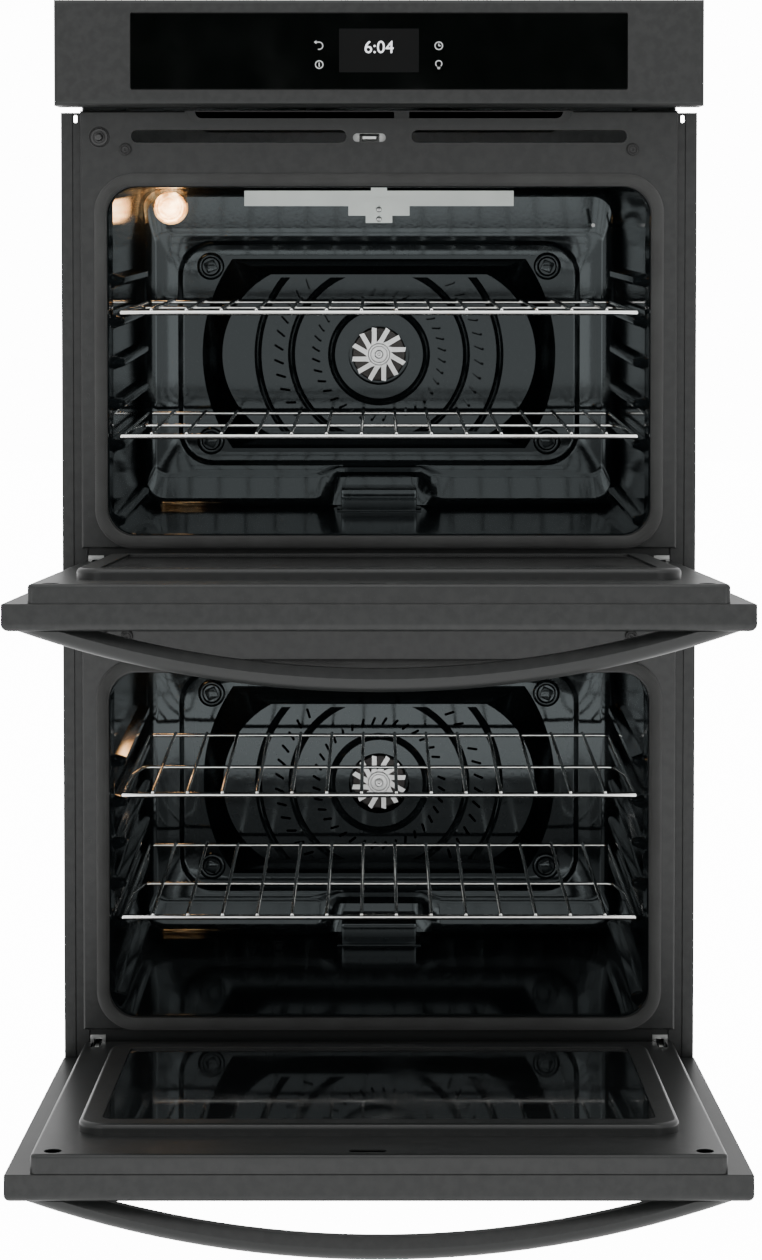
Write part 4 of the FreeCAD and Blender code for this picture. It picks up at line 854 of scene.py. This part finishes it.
def text_mesh(name, items, material):
    """Numerals stood up facing forwards; each item is its text, height, depth, thickness and middle."""
    bm = bmesh.new()
    for text, size, thick, at in items:
        curve = bpy.data.curves.new(name, "FONT")
        curve.body, curve.size, curve.extrude = text, size, thick
        curve.align_x, curve.align_y, curve.resolution_u = "CENTER", "CENTER", 4
        holder = bpy.data.objects.new(name, curve)
        bpy.context.scene.collection.objects.link(holder)
        bpy.context.view_layer.update()
        mesh = bpy.data.meshes.new_from_object(holder)
        bpy.data.objects.remove(holder)
        mesh.transform(Matrix.Translation(at) @ Matrix.Rotation(math.pi / 2, 4, "X"))
        bm.from_mesh(mesh)
        bpy.data.meshes.remove(mesh)
    mesh = bpy.data.meshes.new(name)
    bm.to_mesh(mesh)
    bm.free()
    mesh.materials.append(material)
    made = bpy.data.objects.new(name, mesh)
    bpy.context.scene.collection.objects.link(made)
    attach(made, "cabinet")


def rack_numerals(oven):
    """Raised numerals beside the mouth, one for each pair of guides."""
    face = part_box("front_frame_" + oven)[0].y
    floor = cavity_edges(oven)[1]
    items = []
    for number, level in enumerate(RACK_LEVELS, 1):
        items.append((str(number), 0.0115, 0.0003, (-0.3475, face - 0.0001, floor + level - 0.0015)))
    text_mesh("rack_numerals_" + oven, items, FRONT)


# ------------------------------------------------------------------ control panel marks


def flat_mark(name, shapes, y, material):
    """Thin printed shapes on the control glass; each shape is an outline in X and Z."""
    parts = Parts()
    for outline in shapes:
        near = [Vector((x, y, z)) for x, z in outline]
        far = [Vector((x, y + 0.00025, z)) for x, z in outline]
        parts.loft([far, near], caps=True)
    return piece(name, parts.verts, parts.faces, material, smooth=20)


def arc_band(cx, cz, radius, width, start, end, steps=28):
    """A flat circular stroke between two angles, in degrees."""
    angles = [math.radians(start + (end - start) * i / steps) for i in range(steps + 1)]
    quads = []
    for a, b in zip(angles, angles[1:]):
        inner, outer = radius - width / 2, radius + width / 2
        ends = ((inner, a), (outer, a), (outer, b), (inner, b))
        quads.append([(cx + r * math.cos(t), cz + r * math.sin(t)) for r, t in ends])
    return quads


def bar(cx, cz, wide, tall):
    return [(cx - wide / 2, cz - tall / 2), (cx + wide / 2, cz - tall / 2), (cx + wide / 2, cz + tall / 2),
            (cx - wide / 2, cz + tall / 2)]


def control_marks():
    low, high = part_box("control_glass")
    middle = (low.z + high.z) / 2
    y = low.y - 0.0003
    flat_mark("display_face", [bar(0, middle + 0.0008, 0.0934, 0.051)], low.y - 0.0002, LCD)
    upper, lower, column, stroke = middle + 0.0063, middle - 0.0157, 0.070, 0.0011
    back_arrow = arc_band(-column, upper, 0.0042, stroke, -110, 90)
    back_arrow += [bar(-column - 0.0022, upper + 0.0042, 0.0044, stroke)]
    back_arrow += [[(-column - 0.0062, upper + 0.0042), (-column - 0.0032, upper + 0.0064),
                    (-column - 0.0032, upper + 0.0020)]]
    power = arc_band(-column, lower, 0.0044, stroke, 0, 360) + [bar(-column, lower, 0.0012, 0.0048)]
    timer = arc_band(column, upper, 0.0044, stroke, 0, 360)
    timer += [bar(column, upper + 0.0012, stroke, 0.0028), bar(column + 0.0010, upper, 0.0026, stroke)]
    lamp = arc_band(column, lower + 0.0010, 0.0036, stroke, -50, 230)
    lamp += [bar(column, lower - 0.0032, 0.0036, 0.0009), bar(column, lower - 0.0048, 0.0028, 0.0009)]
    # The icons carry the ink's painted glow.
    flat_mark("panel_icons_with_painted_glow", back_arrow + power + timer + lamp, y, INK_WITH_PAINTED_GLOW)
    text_mesh("clock_digits", [("6:04", 0.0205, 0.0001, (0, low.y - 0.0004, middle + 0.0040))], DIGITS)
    seal = Parts()
    edge = dict(across=4, up=4, corner=6)
    rings = []
    for grow, depth in ((-0.004, 0.0004), (0.0035, 0.0004), (0.0035, 0.0024), (-0.004, 0.0024)):
        rings.append(rounded_loop(high.x + grow, low.z - grow, high.z + grow, 0.003 + grow / 2,
                                  high.y + depth, **edge))
    seal.loft(rings, closed_path=True)
    piece("control_glass_seal", seal.verts, seal.faces, MATERIALS["rubber"], smooth=30)


# ------------------------------------------------------------------ materials on the CAD nodes
def dress_nodes():
    slots = {s["node"]: s["material_slot"] for s in frame["record"]["subparts"]}
    for name, node in frame["nodes"].items():
        material = MATERIALS[slots[name]]
        for index in range(len(node.material_slots)):
            node.material_slots[index].material = material


dress_nodes()
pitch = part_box("cavity_upper")[0].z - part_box("cavity_lower")[0].z
for index, oven in enumerate(OVENS):
    cavity(oven)
    gasket(oven)
    for place in ("bottom", "top"):
        rack(oven, place)
    lamp_lens(oven, index)
    fan(oven)
    clips(oven, index * pitch)
    bumpers(oven, index * pitch)
    door_switch(oven, index * pitch)
    rack_numerals(oven)
control_marks()

# ------------------------------------------------------------------ stage, light and camera


def stage():
    floor = Finish("studio floor")
    tone = floor.graph.noise(0.8, 2.0)
    floor.set("Base Color", floor.graph.mix(tone, rgb(0.86, 0.86, 0.86), rgb(0.83, 0.83, 0.83)))
    floor.set("Roughness", floor.graph.spread(tone, 0.2, 0.8, 0.55, 0.7))
    floor.set("Emission Color", (1, 1, 1, 1))
    seen = floor.graph.add("ShaderNodeLightPath").outputs["Is Camera Ray"]
    path = floor.graph.add("ShaderNodeLightPath").outputs["Is Glossy Ray"]
    mirrored = floor.graph.spread(path, 0.0, 1.0, 0.25, 1.35 * MIRRORED_WHITE)
    shown = floor.graph.math("MULTIPLY", seen, SEEN_WHITE)
    floor.set("Emission Strength", floor.graph.math("MAXIMUM", shown, mirrored))
    size, level = 9.0, CAD_BOX[0].z
    mesh = bpy.data.meshes.new("studio_floor")
    corners = [(-size, -size, level), (size, -size, level), (size, size, level), (-size, size, level)]
    mesh.from_pydata(corners, [], [(0, 1, 2, 3)])
    mesh.materials.append(floor.material)
    ground = bpy.data.objects.new("studio_floor", mesh)
    bpy.context.scene.collection.objects.link(ground)


def softbox(name, at, towards, wide, tall, power):
    light = bpy.data.lights.new(name, "AREA")
    light.shape, light.size, light.size_y, light.energy = "RECTANGLE", wide, tall, power
    lamp = bpy.data.objects.new(name, light)
    bpy.context.scene.collection.objects.link(lamp)
    lamp.location = at
    lamp.rotation_euler = (Vector(towards) - Vector(at)).to_track_quat("-Z", "Y").to_euler()


def world():
    """White paper all round, with a dark flag at the height that the control glass mirrors."""
    sky = bpy.data.worlds.new("studio")
    bpy.context.scene.world = sky
    sky.use_nodes = True
    g = Graph(sky.node_tree)
    shown = sky.node_tree.nodes["Background"]
    shown.inputs["Color"].default_value = (1, 1, 1, 1)
    shown.inputs["Strength"].default_value = SEEN_WHITE
    way = g.add("ShaderNodeSeparateXYZ", {0: g.add("ShaderNodeTexCoord").outputs["Generated"]}).outputs
    flag = g.math("MULTIPLY", g.spread(way["Z"], 0.016, 0.028), g.spread(way["Z"], 0.085, 0.110, 1.0, 0.0))
    flag = g.math("MULTIPLY", flag, g.spread(way["Y"], -0.3, 0.0, 1.0, 0.0))
    mirrored = g.spread(flag, 0.0, 1.0, MIRRORED_WHITE, 0.02)
    around = g.spread(way["Y"], 0.0, 0.3, 0.22, 1.1)
    glossy = g.add("ShaderNodeLightPath").outputs["Is Glossy Ray"]
    level = g.math("ADD", g.math("MULTIPLY", mirrored, glossy),
                   g.math("MULTIPLY", around, g.math("SUBTRACT", 1.0, glossy)))
    fill = g.add("ShaderNodeBackground", {"Color": (1, 1, 1, 1), "Strength": level})
    seen = g.add("ShaderNodeLightPath").outputs["Is Camera Ray"]
    both = g.add("ShaderNodeMixShader", {0: seen, 1: fill.outputs[0], 2: shown.outputs[0]})
    g.feed(both.outputs[0], sky.node_tree.nodes["World Output"].inputs["Surface"])


def camera():
    lens = bpy.data.cameras.new("camera")
    lens.sensor_width, lens.lens = 36.0, 83.0
    lens.shift_x, lens.shift_y = 0.0016, -0.242
    eye = bpy.data.objects.new("camera", lens)
    bpy.context.scene.collection.objects.link(eye)
    eye.location = (0.0, -3.478, 1.069)
    eye.rotation_euler = (math.radians(90 - 2.22), 0, 0)
    bpy.context.scene.camera = eye


stage()
world()
softbox("left_softbox", (-2.1, -4.1, 1.2), (0, 0, 0.65), 1.4, 2.4, 14)
softbox("right_softbox", (2.1, -4.1, 1.2), (0, 0, 0.65), 1.4, 2.4, 14)
softbox("top_softbox", (0, -1.9, 3.5), (0, -0.5, 0.5), 2.6, 1.2, 28)
camera()
